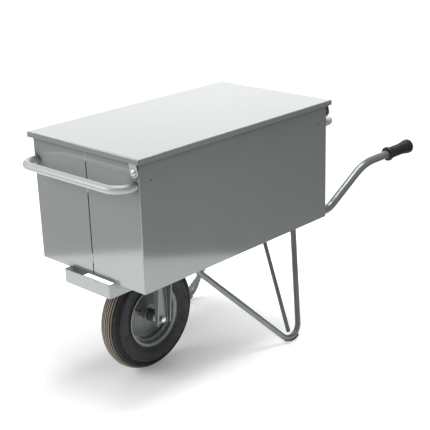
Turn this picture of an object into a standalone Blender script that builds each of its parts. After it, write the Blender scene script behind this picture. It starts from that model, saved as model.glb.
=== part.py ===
"""Chest barrow: a lidded steel box on a tubular frame with one pneumatic wheel.

Units are metres.  +X points forward to the wheel end, +Y to the side that the lid is hinged on,
+Z up.  The origin is on the ground under the middle of the bounding box.
"""
from math import cos, hypot, pi, radians, sin, tan

import bmesh
import bpy
from mathutils import Matrix, Vector

# ---------------------------------------------------------------- driving dimensions
CLEARANCE = 0.0003            # kept between pieces that touch on the real object
SHEET = 0.002                 # box and lid sheet

BOX_CENTRE_X = 0.2522
BOX_LENGTH = 0.931
BOX_WIDTH = 0.515
BOX_BOTTOM = 0.426
BOX_TOP = 0.869
BOX_BEND_RADIUS = 0.004       # outside radius of the folded vertical corners
BOX_FRONT = BOX_CENTRE_X + BOX_LENGTH / 2
BOX_REAR = BOX_CENTRE_X - BOX_LENGTH / 2

SEAM_Y = 0.010                # where the two folded shells meet, a little off the centre line
SEAM_GAP = 0.005
SEAM_WELDS = {"top": (0.818, 0.866), "middle": (0.713, 0.762), "lower": (0.470, 0.506)}
SEAM_WELD_PROUD = 0.0004      # how far the weld stands out of the panel
SIDE_HOLE_X = 0.416           # small drilled holes in the hinge side, from the box centre
SIDE_HOLE_Z = 0.792
SIDE_HOLE_RADIUS = 0.003

LID_LENGTH = 0.955
LID_WIDTH = 0.546
LID_TOP = 0.874
LID_SKIRT = 0.018
LID_CORNER_SLIT = 0.0022      # half width of the open corner in the skirt
LID_SLIT_TOP = 0.00225        # depth of solid metal above the slit
LID_SLIT_HEIGHT = 0.0125

HINGE_Y = 0.2465
HINGE_Z = 0.829
HINGE_BOLT_RADIUS = 0.004
HINGE_BORE = HINGE_BOLT_RADIUS + CLEARANCE
HINGE_SPACER_RADIUS = 0.0065
HINGE_WASHER_RADIUS = 0.0100
HINGE_WASHER_THICKNESS = 0.0016
M8_FLATS = 0.013
M8_NUT_HEIGHT = 0.0065
M8_HEAD_HEIGHT = 0.0053
BOLT_END = 0.0022             # length of thread that shows past a nut
LUG_THICKNESS = 0.003
LUG_END_RADIUS = 0.018
LUG_TOP_INNER = 0.023         # top corners of the lug, sideways from the hinge axis
LUG_TOP_OUTER = 0.010
LUG_END_ANGLE = radians(32)   # where the round end meets the sloping outer edge

LOOP_RADIUS = 0.0135          # carrying loops through the end panels
LOOP_WALL = 0.002
LOOP_Z = 0.782
LOOP_HALF_WIDTH = 0.241
LOOP_REACH = 0.073            # from the panel to the loop's centre line
LOOP_BEND_RADIUS = 0.055
LOOP_HOLE_RADIUS = 0.0150
LOOP_INSIDE = 0.006           # length of tube left inside the box

TUBE_RADIUS = 0.0165          # main frame tubes, which are also the handles
TUBE_WALL = 0.002
TUBE_Z = BOX_BOTTOM - CLEARANCE - TUBE_RADIUS
TUBE_FRONT_X = 0.6297
TUBE_FRONT_Y = 0.1320
TUBE_SPREAD = 0.0586          # sideways run per metre under the box
HANDLE_SPREAD = 0.100         # and behind it
HANDLE_LOW_X = -0.3226        # where the level run would meet the rising run
HANDLE_HIGH_X = -0.5252       # where the rising run would meet the grip run
HANDLE_HIGH_Z = 0.5490
HANDLE_END_X = -0.7960
HANDLE_END_Z = 0.5635
HANDLE_LOW_BEND = 0.090
HANDLE_HIGH_BEND = 0.200

GRIP_LENGTH = 0.140
GRIP_END_X = -0.8033
GRIP_COLLAR_RADIUS = 0.0290
GRIP_BODY_RADIUS = 0.0232
GRIP_FLARE_RADIUS = 0.0290
GRIP_END_WALL = 0.0065

CROSS_RADIUS = 0.01345        # tubes across the frame under the floor
CROSS_WALL = 0.002
CROSS_Z = BOX_BOTTOM - CLEARANCE - CROSS_RADIUS
REAR_CROSS_X = -0.0778
MID_CROSS_X = 0.2452
CROSS_TUBES = {"rear_cross_tube": REAR_CROSS_X, "mid_cross_tube": MID_CROSS_X}

LEG_RADIUS = 0.0108
LEG_WALL = 0.002
LEG_FRONT_X = 0.4183
LEG_REAR_X = -0.1169
LEG_VERTEX = Vector((-0.0090, 0.2928, -0.0401))
LEG_BEND_RADIUS = 0.054
SHOE_THICKNESS = 0.0030
SHOE_HALF_WIDTH = 0.009
SHOE_START = radians(-33)     # measured at the bend centre from straight down, positive forward
SHOE_END = radians(25)

BRACE_RADIUS = 0.0076
BRACE_WALL = 0.0015
BRACE_TOP_Y = 0.036
BRACE_FOOT_LIFT = 0.0105      # above the inside of the foot bend
BRACE_FOOT_FORWARD = 0.005

BUMPER_FRONT_X = 0.7427
BUMPER_HALF_WIDTH = 0.115
BUMPER_HEIGHT = 0.048
BUMPER_SHEET = 0.005
BUMPER_BEND_RADIUS = 0.006
BUMPER_REAR_X = 0.4512

AXLE_X = 0.4842
WHEEL_RADIUS = 0.200
WHEEL_CENTRE = Vector((AXLE_X, 0, WHEEL_RADIUS))
AXLE_RADIUS = 0.006
AXLE_BORE = AXLE_RADIUS + CLEARANCE
AXLE_HALF_LENGTH = 0.0870
AXLE_NUT_HEIGHT = 0.0100
AXLE_NUT_FLATS = 0.018

FORK_HALF_WIDTH = 0.032
FORK_WEB_Y = 0.070            # inner face of the web
FORK_SHEET = 0.005
FORK_BOTTOM = 0.184
FORK_TOP = BOX_BOTTOM - 0.001
FORK_EDGE_BOTTOM = 0.087      # outer edge of the flanges at the bottom and at the top
FORK_EDGE_TOP = 0.1092

HUB_RADIUS = 0.0220
HUB_BORE = 0.0163
HUB_HALF_LENGTH = 0.0480
BEARING_WIDTH = 0.010
BEARING_SET_IN = 0.001        # bearing face below the hub's end
SPACER_RADIUS = 0.0100
RIM_SHEET = 0.0025
DISC_SHEET = 0.003
TYRE_HALF_WIDTH = 0.0425

INNER_TUBE_MIDDLE = 0.1440    # radius of the middle of its section
INNER_TUBE_TALL = 0.0385      # half height and half width of its section
INNER_TUBE_WIDE = 0.0290
INNER_TUBE_WALL = 0.0015
INNER_TUBE_SLIT = radians(6)

VALVE_AROUND = radians(-33)   # where the valve sits round the rim
VALVE_LEAN = radians(-38)     # lean out to the left
VALVE_BASE = Vector((0.1005, 0.0115, 0))
VALVE_STEM = (0.0, 0.030, 0.0040)     # start, end, radius
VALVE_CAP = (0.0303, 0.0380, 0.0045)

BOX_BOLT_RADIUS = 0.004
BOX_BOLT_Y = 0.095

# ---------------------------------------------------------------- colours
PAINT = ("grey_paint", (0.30, 0.33, 0.33, 1), 0.0, 0.35)
PLATED = ("zinc_plate", (0.75, 0.77, 0.78, 1), 1.0, 0.3)
BLACK_RUBBER = ("black_rubber", (0.012, 0.012, 0.013, 1), 0.0, 0.7)
TYRE_RUBBER = ("tyre_rubber", (0.02, 0.02, 0.021, 1), 0.0, 0.8)
BRIGHT_STEEL = ("bearing_steel", (0.55, 0.56, 0.57, 1), 1.0, 0.25)


def clear_scene():
    for item in list(bpy.data.objects):
        bpy.data.objects.remove(item, do_unlink=True)


def new_collection(name):
    collection = bpy.data.collections.new(name)
    bpy.context.scene.collection.children.link(collection)
    return collection


clear_scene()
PARTS = new_collection("wheelbarrow")
CUTTERS = new_collection("cutters")


def material(spec):
    name, colour, metallic, roughness = spec
    made = bpy.data.materials.get(name)
    if made is None:
        made = bpy.data.materials.new(name)
        made.use_nodes = True
        shader = made.node_tree.nodes["Principled BSDF"]
        shader.inputs["Base Color"].default_value = colour
        shader.inputs["Metallic"].default_value = metallic
        shader.inputs["Roughness"].default_value = roughness
    return made


# ---------------------------------------------------------------- building blocks
def add_part(name, mesh, finish, smooth=False):
    mesh.materials.clear()
    mesh.materials.append(material(finish))
    part = bpy.data.objects.new(name, mesh)
    PARTS.objects.link(part)
    if smooth:
        mesh.shade_smooth()
        mesh.set_sharp_from_angle(angle=radians(35))
    return part


def add_cutter(name, mesh):
    cutter = bpy.data.objects.new(name, mesh)
    CUTTERS.objects.link(cutter)
    cutter.hide_render = True
    cutter.display_type = "WIRE"
    return cutter


def cut(part, cutter, operation="DIFFERENCE"):
    modifier = part.modifiers.new(cutter.name, "BOOLEAN")
    modifier.operation = operation
    modifier.solver = "EXACT"
    modifier.object = cutter


def mirror_y(points, side):
    return [Vector((p.x, p.y * side, p.z)) for p in points]


def arc_points(centre, start, end, steps):
    """Points on an arc about centre: start and end are vectors from it, of the same length."""
    angle = start.angle(end)
    if angle < 1e-6:
        return [centre + start]
    across = (end - start * cos(angle)) / sin(angle)
    return [centre + start * cos(angle * i / steps) + across * sin(angle * i / steps)
            for i in range(steps + 1)]


def rounded(points, radius, steps=5):
    """The polyline with every inner corner replaced by an arc of the given radius."""
    path = [points[0].copy()]
    for before, corner, after in zip(points, points[1:], points[2:]):
        to_before = (before - corner).normalized()
        to_after = (after - corner).normalized()
        half = to_before.angle(to_after) / 2
        centre = corner + (to_before + to_after).normalized() * radius / sin(half)
        tangent = radius / tan(half)
        start = corner + to_before * tangent - centre
        end = corner + to_after * tangent - centre
        path.extend(arc_points(centre, start, end, steps))
    path.append(points[-1].copy())
    return path


def path_mesh(name, path, radius, sides, capped):
    """A round section swept along a path, as a mesh."""
    curve = bpy.data.curves.new(name, "CURVE")
    curve.dimensions = "3D"
    curve.bevel_depth = radius
    curve.bevel_resolution = (sides - 4) // 2
    curve.use_fill_caps = capped
    spline = curve.splines.new("POLY")
    spline.points.add(len(path) - 1)
    for point, position in zip(spline.points, path):
        point.co = (*position, 1)
    holder = bpy.data.objects.new(name, curve)
    bpy.context.scene.collection.objects.link(holder)
    bpy.context.view_layer.update()
    mesh = bpy.data.meshes.new_from_object(holder)
    bpy.data.objects.remove(holder, do_unlink=True)
    shape = bmesh.new()
    shape.from_mesh(mesh)
    bmesh.ops.remove_doubles(shape, verts=shape.verts, dist=0.00001)
    shape.to_mesh(mesh)
    shape.free()
    return mesh


def hollow_tube(name, path, radius, wall, finish, sides=12):
    """A tube with open ends, so that its bore is no sealed cavity."""
    part = add_part(name, path_mesh(name, path, radius, sides, capped=False), finish, smooth=True)
    shell = part.modifiers.new("wall", "SOLIDIFY")
    shell.thickness = wall
    shell.offset = -1
    return part


def room_for(name, path, radius, sides=12):
    """A cutter that leaves the clearance round a tube of this radius and number of sides."""
    return add_cutter(name, path_mesh(name, path, radius + CLEARANCE, sides, capped=True))


def prism_mesh(name, outline, low, high):
    """An outline in the XY plane, given anticlockwise, extruded from low to high."""
    mesh = bpy.data.meshes.new(name)
    shape = bmesh.new()
    bottom = [shape.verts.new((x, y, low)) for x, y in outline]
    floor = shape.faces.new(reversed(bottom))
    raised = bmesh.ops.extrude_face_region(shape, geom=[floor], use_keep_orig=True)
    top = [item for item in raised["geom"] if isinstance(item, bmesh.types.BMVert)]
    bmesh.ops.translate(shape, verts=top, vec=(0, 0, high - low))
    bmesh.ops.recalc_face_normals(shape, faces=shape.faces)
    shape.to_mesh(mesh)
    shape.free()
    return mesh


def box_mesh(name, centre, size):
    mesh = bpy.data.meshes.new(name)
    shape = bmesh.new()
    bmesh.ops.create_cube(shape, size=1)
    bmesh.ops.transform(shape, verts=shape.verts,
                        matrix=Matrix.Translation(centre) @ Matrix.Diagonal((*size, 1)))
    shape.to_mesh(mesh)
    shape.free()
    return mesh


AXIS_TURN = {"X": Matrix.Rotation(pi / 2, 4, "Y"), "Y": Matrix.Rotation(-pi / 2, 4, "X"),
             "Z": Matrix.Identity(4)}


def rod_mesh(name, axis, centre, start, end, radius, sides=16):
    """A solid rod along an axis through centre, from start to end measured from it."""
    mesh = bpy.data.meshes.new(name)
    shape = bmesh.new()
    bmesh.ops.create_cone(shape, cap_ends=True, segments=sides, radius1=radius, radius2=radius,
                          depth=end - start)
    along = Matrix.Translation((0, 0, (start + end) / 2))
    bmesh.ops.transform(shape, verts=shape.verts,
                        matrix=Matrix.Translation(centre) @ AXIS_TURN[axis] @ along)
    shape.to_mesh(mesh)
    shape.free()
    return mesh


def hex_radius(across_flats):
    return across_flats / 2 / cos(pi / 6)


def turned_part(name, profile, centre, finish, steps, closed=True, axis="Y"):
    """A profile of (radius, distance along the axis) points turned about the axis.

    The outer side of the profile runs from high to low distance.
    """
    mesh = bpy.data.meshes.new(name)
    count = len(profile)
    edges = [(i, i + 1) for i in range(count - 1)]
    if closed:
        edges.append((count - 1, 0))
    mesh.from_pydata([(radius, 0, along) for radius, along in profile], edges, [])
    part = add_part(name, mesh, finish)
    part.matrix_world = Matrix.Translation(centre) @ AXIS_TURN[axis]
    screw = part.modifiers.new("turn", "SCREW")
    screw.axis = "Z"
    screw.steps = steps
    screw.render_steps = steps
    screw.use_merge_vertices = True
    screw.merge_threshold = 0.00005
    screw.use_smooth_shade = True
    weld = part.modifiers.new("weld", "WELD")
    weld.merge_threshold = 0.00002
    return part


def offset_outline(path, thickness):
    """The plan outline of a strip: the path on one side, its copy moved to the left on the other."""
    inner = []
    for i, point in enumerate(path):
        before = path[max(i - 1, 0)]
        after = path[min(i + 1, len(path) - 1)]
        ahead = ((after - point).normalized() + (point - before).normalized()).normalized()
        left = Vector((-ahead.y, ahead.x, 0))
        edge = (after - point) if i < len(path) - 1 else (point - before)
        lean = abs(edge.normalized().cross(left).z)
        inner.append(point + left * thickness / max(lean, 0.5))
    return [(p.x, p.y) for p in path] + [(p.x, p.y) for p in reversed(inner)]


def ring_profile(inner, outer, start, end):
    return [(outer, end), (outer, start), (inner, start), (inner, end)]


def span(direction, near, far):
    """Near and far distances on one side of a centre, as a low and a high coordinate."""
    return tuple(sorted((direction * near, direction * far)))


# ---------------------------------------------------------------- frame
def tube_y(x):
    """Distance of the main tubes' axes from the centre line, which grows faster behind the box."""
    under_box = TUBE_FRONT_X - max(x, HANDLE_LOW_X)
    behind_box = HANDLE_LOW_X - min(x, HANDLE_LOW_X)
    return TUBE_FRONT_Y + under_box * TUBE_SPREAD + behind_box * HANDLE_SPREAD


def main_tube_point(x, z):
    return Vector((x, tube_y(x), z))


def main_tube_path():
    """Level under the box, up behind it, and nearly level again at the grip."""
    front = main_tube_point(TUBE_FRONT_X, TUBE_Z)
    low = main_tube_point(HANDLE_LOW_X, TUBE_Z)
    high = main_tube_point(HANDLE_HIGH_X, HANDLE_HIGH_Z)
    end = main_tube_point(HANDLE_END_X, HANDLE_END_Z)
    lower_part = rounded([front, low, high], HANDLE_LOW_BEND)
    upper_part = rounded([low, high, end], HANDLE_HIGH_BEND)
    return lower_part[:-1] + upper_part[1:]


def leg_corners():
    return [main_tube_point(LEG_FRONT_X, TUBE_Z), LEG_VERTEX, main_tube_point(LEG_REAR_X, TUBE_Z)]


def leg_bend():
    """Centre of the foot bend, the direction to its lowest point, and forward in the leg's plane."""
    front, vertex, rear = leg_corners()
    to_front = (front - vertex).normalized()
    to_rear = (rear - vertex).normalized()
    half = to_front.angle(to_rear) / 2
    centre = vertex + (to_front + to_rear).normalized() * LEG_BEND_RADIUS / sin(half)
    across = to_front.cross(to_rear).normalized()
    forward = across.cross(Vector((0, 0, 1))).normalized()
    if forward.x < 0:
        forward = -forward
    down = across.cross(forward).normalized()
    if down.z > 0:
        down = -down
    return centre, down, forward


def build_frame_side(label, side):
    main_path = mirror_y(main_tube_path(), side)
    hollow_tube(f"{label}_frame_tube", main_path, TUBE_RADIUS, TUBE_WALL, PAINT)
    room_for(f"{label}_frame_tube_room", main_path, TUBE_RADIUS)

    leg_path = mirror_y(rounded(leg_corners(), LEG_BEND_RADIUS, steps=7), side)
    leg = hollow_tube(f"{label}_leg", leg_path, LEG_RADIUS, LEG_WALL, PAINT)
    cut(leg, bpy.data.objects[f"{label}_frame_tube_room"])
    build_shoe(label, side)
    build_brace(label, side)
    build_grip(label, side)
    build_fork_arm(label, side)


def build_shoe(label, side):
    """A wear strip curved round the underside of the foot bend."""
    centre, down, forward = leg_bend()
    inner = LEG_BEND_RADIUS + LEG_RADIUS + CLEARANCE
    outer = inner + SHOE_THICKNESS
    steps = 6
    angles = [SHOE_START + (SHOE_END - SHOE_START) * i / steps for i in range(steps + 1)]
    outline = [(sin(a) * outer, -cos(a) * outer) for a in angles]
    outline += [(sin(a) * inner, -cos(a) * inner) for a in reversed(angles)]
    mesh = prism_mesh(f"{label}_foot_shoe", outline, -SHOE_HALF_WIDTH, SHOE_HALF_WIDTH)
    across = forward.cross(-down)
    place = Matrix.Translation(centre) @ Matrix((forward, -down, across)).transposed().to_4x4()
    mesh.transform(place)
    if side < 0:
        mesh.transform(Matrix.Diagonal((1, -1, 1, 1)))
        mesh.flip_normals()
    add_part(f"{label}_foot_shoe", mesh, PAINT)


def build_brace(label, side):
    """A thin tube from the inside of the foot bend up to the middle of the rear cross tube."""
    centre, down, forward = leg_bend()
    drop = LEG_BEND_RADIUS - LEG_RADIUS - BRACE_FOOT_LIFT
    foot = centre + down * drop + forward * BRACE_FOOT_FORWARD
    path = mirror_y([foot, Vector((REAR_CROSS_X, BRACE_TOP_Y, CROSS_Z))], side)
    brace = hollow_tube(f"{label}_brace", path, BRACE_RADIUS, BRACE_WALL, PAINT, sides=10)
    cut(brace, bpy.data.objects["rear_cross_tube_room"])


def build_grip(label, side):
    """A rubber grip with a collar at its front and a flared, rounded end."""
    high = main_tube_point(HANDLE_HIGH_X, HANDLE_HIGH_Z)
    along = (main_tube_point(HANDLE_END_X, HANDLE_END_Z) - high).normalized()
    end = high + along * (GRIP_END_X - HANDLE_HIGH_X) / along.x
    bore = TUBE_RADIUS + CLEARANCE
    closed_end = [(0, 0), (0.014, 0.0008), (0.024, 0.0045), (GRIP_FLARE_RADIUS - 0.001, 0.012),
                  (GRIP_FLARE_RADIUS, 0.022), (0.0266, 0.036), (0.0242, 0.050),
                  (GRIP_BODY_RADIUS, 0.065)]
    collar = [(GRIP_BODY_RADIUS, 0.016), (GRIP_COLLAR_RADIUS - 0.001, 0.011),
              (GRIP_COLLAR_RADIUS, 0.008), (GRIP_COLLAR_RADIUS - 0.001, 0.002),
              (GRIP_COLLAR_RADIUS - 0.003, 0)]
    inside = [(bore, 0), (bore, GRIP_LENGTH - GRIP_END_WALL), (0, GRIP_LENGTH - GRIP_END_WALL)]
    profile = [(radius, GRIP_LENGTH - back) for radius, back in closed_end] + collar + inside
    grip = turned_part(f"{label}_grip", profile, (0, 0, 0), BLACK_RUBBER, steps=18, closed=False,
                       axis="Z")
    turn = Vector((0, 0, 1)).rotation_difference(along).to_matrix().to_4x4()
    place = Matrix.Translation(end - along * GRIP_LENGTH) @ turn
    if side < 0:
        place = Matrix.Diagonal((1, -1, 1, 1)) @ place @ Matrix.Diagonal((1, -1, 1, 1))
    grip.matrix_world = place


def build_fork_arm(label, side):
    """A channel that opens outwards, its flanges deeper at the top, with a hole for the axle."""
    web, back = FORK_WEB_Y, FORK_WEB_Y + FORK_SHEET
    rings = []
    for z, edge in ((FORK_BOTTOM, FORK_EDGE_BOTTOM), (FORK_TOP, FORK_EDGE_TOP)):
        outside = FORK_HALF_WIDTH
        inside = FORK_HALF_WIDTH - FORK_SHEET
        rings.append([(AXLE_X + x, side * y, z) for x, y in (
            (-outside, web), (outside, web), (outside, edge), (inside, edge),
            (inside, back), (-inside, back), (-inside, edge), (-outside, edge))])
    mesh = bpy.data.meshes.new(f"{label}_fork_arm")
    shape = bmesh.new()
    low, high = [[shape.verts.new(point) for point in ring] for ring in rings]
    shape.faces.new(low)
    shape.faces.new(high)
    for i, corner in enumerate(low):
        after = (i + 1) % len(low)
        shape.faces.new((corner, low[after], high[after], high[i]))
    bmesh.ops.recalc_face_normals(shape, faces=shape.faces)
    shape.to_mesh(mesh)
    shape.free()
    arm = add_part(f"{label}_fork_arm", mesh, PAINT)
    cut(arm, bpy.data.objects["axle_room"])


def build_cross_tubes():
    for name, x in CROSS_TUBES.items():
        path = [Vector((x, -tube_y(x), CROSS_Z)), Vector((x, tube_y(x), CROSS_Z))]
        hollow_tube(name, path, CROSS_RADIUS, CROSS_WALL, PAINT)
        room_for(f"{name}_room", path, CROSS_RADIUS)


def fit_cross_tubes():
    """The ends of the cross tubes are shaped to fit the main tubes."""
    for name in CROSS_TUBES:
        for label in ("left", "right"):
            cut(bpy.data.objects[name], bpy.data.objects[f"{label}_frame_tube_room"])


def build_bumper():
    """A flat strip bent to a U: it joins the fork arms and stands in front of the wheel."""
    corners = [Vector((BUMPER_REAR_X, -BUMPER_HALF_WIDTH, 0)),
               Vector((BUMPER_FRONT_X, -BUMPER_HALF_WIDTH, 0)),
               Vector((BUMPER_FRONT_X, BUMPER_HALF_WIDTH, 0)),
               Vector((BUMPER_REAR_X, BUMPER_HALF_WIDTH, 0))]
    path = rounded(corners, BUMPER_BEND_RADIUS, steps=4)
    top = BOX_BOTTOM - CLEARANCE
    outline = offset_outline(path, BUMPER_SHEET)
    add_part("bumper_strip", prism_mesh("bumper_strip", outline, top - BUMPER_HEIGHT, top), PAINT)


# ---------------------------------------------------------------- fasteners
def build_bolt(name, axis, centre, head_from, head_to, tip, radius):
    """A hexagon head between two distances along the axis, and a shank from inside it to the tip."""
    low, high = sorted((head_from, head_to))
    head = rod_mesh(name, axis, centre, low, high, hex_radius(M8_FLATS), sides=6)
    bolt = add_part(name, head, PLATED)
    low, high = sorted((tip, (head_from + head_to) / 2))
    shank = rod_mesh(f"{name}_shank", axis, centre, low, high, radius)
    cut(bolt, add_cutter(f"{name}_shank", shank), "UNION")


def build_ring(name, axis, centre, ends, inner, outer, finish, steps=12):
    turned_part(name, ring_profile(inner, outer, *ends), centre, finish, steps, axis=axis)


def build_nut(name, axis, centre, ends, across_flats, radius):
    nut = add_part(name, rod_mesh(name, axis, centre, *ends, hex_radius(across_flats), sides=6), PLATED)
    hole = rod_mesh(f"{name}_hole", axis, centre, ends[0] - 0.001, ends[1] + 0.001,
                    radius + CLEARANCE)
    cut(nut, add_cutter(f"{name}_hole", hole))


# ---------------------------------------------------------------- wheel
def build_axle():
    """The shaft, which stays with the frame."""
    reach = AXLE_HALF_LENGTH
    shaft = rod_mesh("axle", "Y", WHEEL_CENTRE, -reach, reach, AXLE_RADIUS)
    add_part("axle", shaft, PLATED, smooth=True)
    add_cutter("axle_room", rod_mesh("axle_room", "Y", WHEEL_CENTRE, -2 * reach, 2 * reach, AXLE_BORE))


def build_axle_fittings():
    """From the wheel outwards on each side: bearing, spacer, and the nut outside the fork arm."""
    web_outside = FORK_WEB_Y + FORK_SHEET
    bearing_outside = HUB_HALF_LENGTH - BEARING_SET_IN
    for label, side in (("left", 1), ("right", -1)):
        nut_ends = span(side, web_outside + CLEARANCE, web_outside + AXLE_NUT_HEIGHT)
        build_nut(f"{label}_axle_nut", "Y", WHEEL_CENTRE, nut_ends, AXLE_NUT_FLATS, AXLE_RADIUS)
        spacer_ends = span(side, bearing_outside + CLEARANCE, FORK_WEB_Y - CLEARANCE)
        build_ring(f"{label}_axle_spacer", "Y", WHEEL_CENTRE, spacer_ends, AXLE_BORE, SPACER_RADIUS,
                   PLATED)
        bearing_ends = span(side, bearing_outside - BEARING_WIDTH, bearing_outside)
        build_ring(f"{label}_wheel_bearing", "Y", WHEEL_CENTRE, bearing_ends, AXLE_BORE,
                   HUB_BORE - CLEARANCE, BRIGHT_STEEL)


def build_wheel():
    build_ring("wheel_hub", "Y", WHEEL_CENTRE, (-HUB_HALF_LENGTH, HUB_HALF_LENGTH), HUB_BORE,
               HUB_RADIUS, PAINT, steps=24)
    build_disc()
    build_rim()
    build_tyre()
    build_inner_tube()
    build_valve()


def sheet_profile(line, thickness):
    """A closed profile from the outer line of a turned sheet, given from high to low distance."""
    count = len(line)
    inner = []
    for i in range(count):
        before = line[max(i - 1, 0)]
        after = line[min(i + 1, count - 1)]
        run = (after[0] - before[0], after[1] - before[1])
        length = hypot(*run)
        radius, along = line[i]
        inner.append((radius + run[1] / length * thickness, along - run[0] / length * thickness))
    return line + inner[::-1]


def build_disc():
    """The dished steel disc between hub and rim, with a pressed ring."""
    inner = HUB_RADIUS + CLEARANCE
    line = [(inner, 0.006), (0.040, 0.006), (0.046, 0.013), (0.062, 0.013), (0.068, 0.004),
            (0.0846, 0.004)]
    profile = [(radius, y - DISC_SHEET) for radius, y in reversed(line)] + line
    turned_part("wheel_disc", profile, WHEEL_CENTRE, PAINT, steps=24)


def build_rim():
    """The rolled rim: a lip and a bead seat on each side of a drop centre."""
    half = [(0.1120, 0.0360), (0.1110, 0.0335), (0.1040, 0.0322), (0.1018, 0.0290),
            (0.1008, 0.0200), (0.0900, 0.0140)]
    line = half + [(radius, -y) for radius, y in reversed(half)]
    turned_part("wheel_rim", sheet_profile(line, RIM_SHEET), WHEEL_CENTRE, PAINT, steps=28)


def build_tyre():
    """An open section: the beads sit inside the rim's lips and the crown is round."""
    outside = [(0.1027, 0.0288), (0.1060, 0.0308), (0.1128, 0.0324), (0.1220, 0.0340),
               (0.1370, 0.0395), (0.1550, TYRE_HALF_WIDTH), (0.1720, 0.0395), (0.1860, 0.0310),
               (0.1960, 0.0180)]
    inside = [(0.1027, 0.0225), (0.1300, 0.0300), (0.1550, 0.0350), (0.1760, 0.0290)]
    crown_inside = 0.1868
    outer = outside + [(WHEEL_RADIUS, 0)] + [(radius, -y) for radius, y in reversed(outside)]
    inner = [(radius, -y) for radius, y in inside] + [(crown_inside, 0)] + inside[::-1]
    turned_part("tyre", outer + inner, WHEEL_CENTRE, TYRE_RUBBER, steps=40)


def build_inner_tube():
    """A thin ring, open by a slit on the rim side so that it encloses no sealed space."""
    steps = 10
    turn = 2 * (pi - INNER_TUBE_SLIT)
    angles = [pi + INNER_TUBE_SLIT + turn * i / steps for i in range(steps + 1)]

    def section(tall, wide):
        return [(INNER_TUBE_MIDDLE + tall * cos(a), -wide * sin(a)) for a in angles]

    outer = section(INNER_TUBE_TALL, INNER_TUBE_WIDE)
    inner = section(INNER_TUBE_TALL - INNER_TUBE_WALL, INNER_TUBE_WIDE - INNER_TUBE_WALL)
    turned_part("inner_tube", outer + inner[::-1], WHEEL_CENTRE, BLACK_RUBBER, steps=20)


def build_valve():
    """The stem leaves the drop centre towards the hub, leaning out to the left."""
    around = Matrix.Rotation(VALVE_AROUND, 4, "Y")
    lean = Matrix.Rotation(radians(-90), 4, "Y") @ Matrix.Rotation(VALVE_LEAN, 4, "X")
    place = Matrix.Translation(WHEEL_CENTRE) @ around @ Matrix.Translation(VALVE_BASE) @ lean
    for name, (start, end, radius) in (("valve_stem", VALVE_STEM), ("valve_cap", VALVE_CAP)):
        mesh = rod_mesh(name, "Z", (0, 0, 0), start, end, radius, sides=12)
        mesh.transform(place)
        add_part(name, mesh, BLACK_RUBBER, smooth=True)
    hole = rod_mesh("valve_room", "Z", (0, 0, 0), -0.010, 0.020, VALVE_STEM[2] + 0.0004)
    hole.transform(place)
    cut(bpy.data.objects["wheel_rim"], add_cutter("valve_room", hole))


# ---------------------------------------------------------------- box
def build_shell(label, side):
    """One folded sheet: half of each end panel and a whole side panel."""
    half_width = BOX_WIDTH / 2
    seam = SEAM_Y + side * SEAM_GAP / 2
    corners = [Vector((BOX_FRONT, seam, 0)), Vector((BOX_FRONT, side * half_width, 0)),
               Vector((BOX_REAR, side * half_width, 0)), Vector((BOX_REAR, seam, 0))]
    if side < 0:
        corners.reverse()
    path = rounded(corners, BOX_BEND_RADIUS, steps=4)
    mesh = prism_mesh(f"box_{label}_shell", offset_outline(path, SHEET), BOX_BOTTOM, BOX_TOP)
    shell = add_part(f"box_{label}_shell", mesh, PAINT)
    holes = [("loop", side * LOOP_HALF_WIDTH, LOOP_Z, LOOP_HOLE_RADIUS)]
    if side > 0:
        holes.append(("hinge", HINGE_Y, HINGE_Z, HINGE_BORE))
    for kind, y, z, radius in holes:
        name = f"{label}_{kind}_holes"
        rod = rod_mesh(name, "X", (BOX_CENTRE_X, y, z), -BOX_LENGTH, BOX_LENGTH, radius)
        cut(shell, add_cutter(name, rod))
    if side > 0:
        for end, x in (("front", SIDE_HOLE_X), ("rear", -SIDE_HOLE_X)):
            name = f"side_{end}_hole"
            rod = rod_mesh(name, "Y", (BOX_CENTRE_X + x, half_width, SIDE_HOLE_Z), -0.01, 0.01,
                           SIDE_HOLE_RADIUS, sides=12)
            cut(shell, add_cutter(name, rod))


def build_floor():
    inside_length = BOX_LENGTH - 2 * (SHEET + CLEARANCE)
    inside_width = BOX_WIDTH - 2 * (SHEET + CLEARANCE)
    corner = BOX_BEND_RADIUS - SHEET
    half_x, half_y = inside_length / 2, inside_width / 2
    outline = [(BOX_CENTRE_X + x, y) for x, y in (
        (-half_x + corner, -half_y), (half_x - corner, -half_y), (half_x, -half_y + corner),
        (half_x, half_y - corner), (half_x - corner, half_y), (-half_x + corner, half_y),
        (-half_x, half_y - corner), (-half_x, -half_y + corner))]
    mesh = prism_mesh("box_floor", outline, BOX_BOTTOM, BOX_BOTTOM + SHEET)
    plate = add_part("box_floor", mesh, PAINT)
    for name, x, y in box_bolt_places():
        rod = rod_mesh(f"{name}_hole", "Z", (x, y, BOX_BOTTOM), -0.05, 0.05,
                       BOX_BOLT_RADIUS + CLEARANCE)
        hole = add_cutter(f"{name}_hole", rod)
        cut(plate, hole)
        cross = "rear_cross_tube" if x == REAR_CROSS_X else "mid_cross_tube"
        cut(bpy.data.objects[cross], hole)


def box_bolt_places():
    return [(f"{end}_{label}_box_bolt", x, side * BOX_BOLT_Y)
            for end, x in (("rear", REAR_CROSS_X), ("mid", MID_CROSS_X))
            for label, side in (("left", 1), ("right", -1))]


def build_box_bolts():
    """Bolts through the floor and the cross tubes, with a nut under each."""
    head_start = BOX_BOTTOM + SHEET + CLEARANCE
    nut_top = CROSS_Z - CROSS_RADIUS - CLEARANCE
    for name, x, y in box_bolt_places():
        tip = nut_top - M8_NUT_HEIGHT - BOLT_END - head_start
        build_bolt(name, "Z", (x, y, head_start), 0, M8_HEAD_HEIGHT, tip, BOX_BOLT_RADIUS)
        build_nut(name.replace("bolt", "nut"), "Z", (x, y, nut_top), (-M8_NUT_HEIGHT, 0), M8_FLATS,
                  BOX_BOLT_RADIUS)


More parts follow.
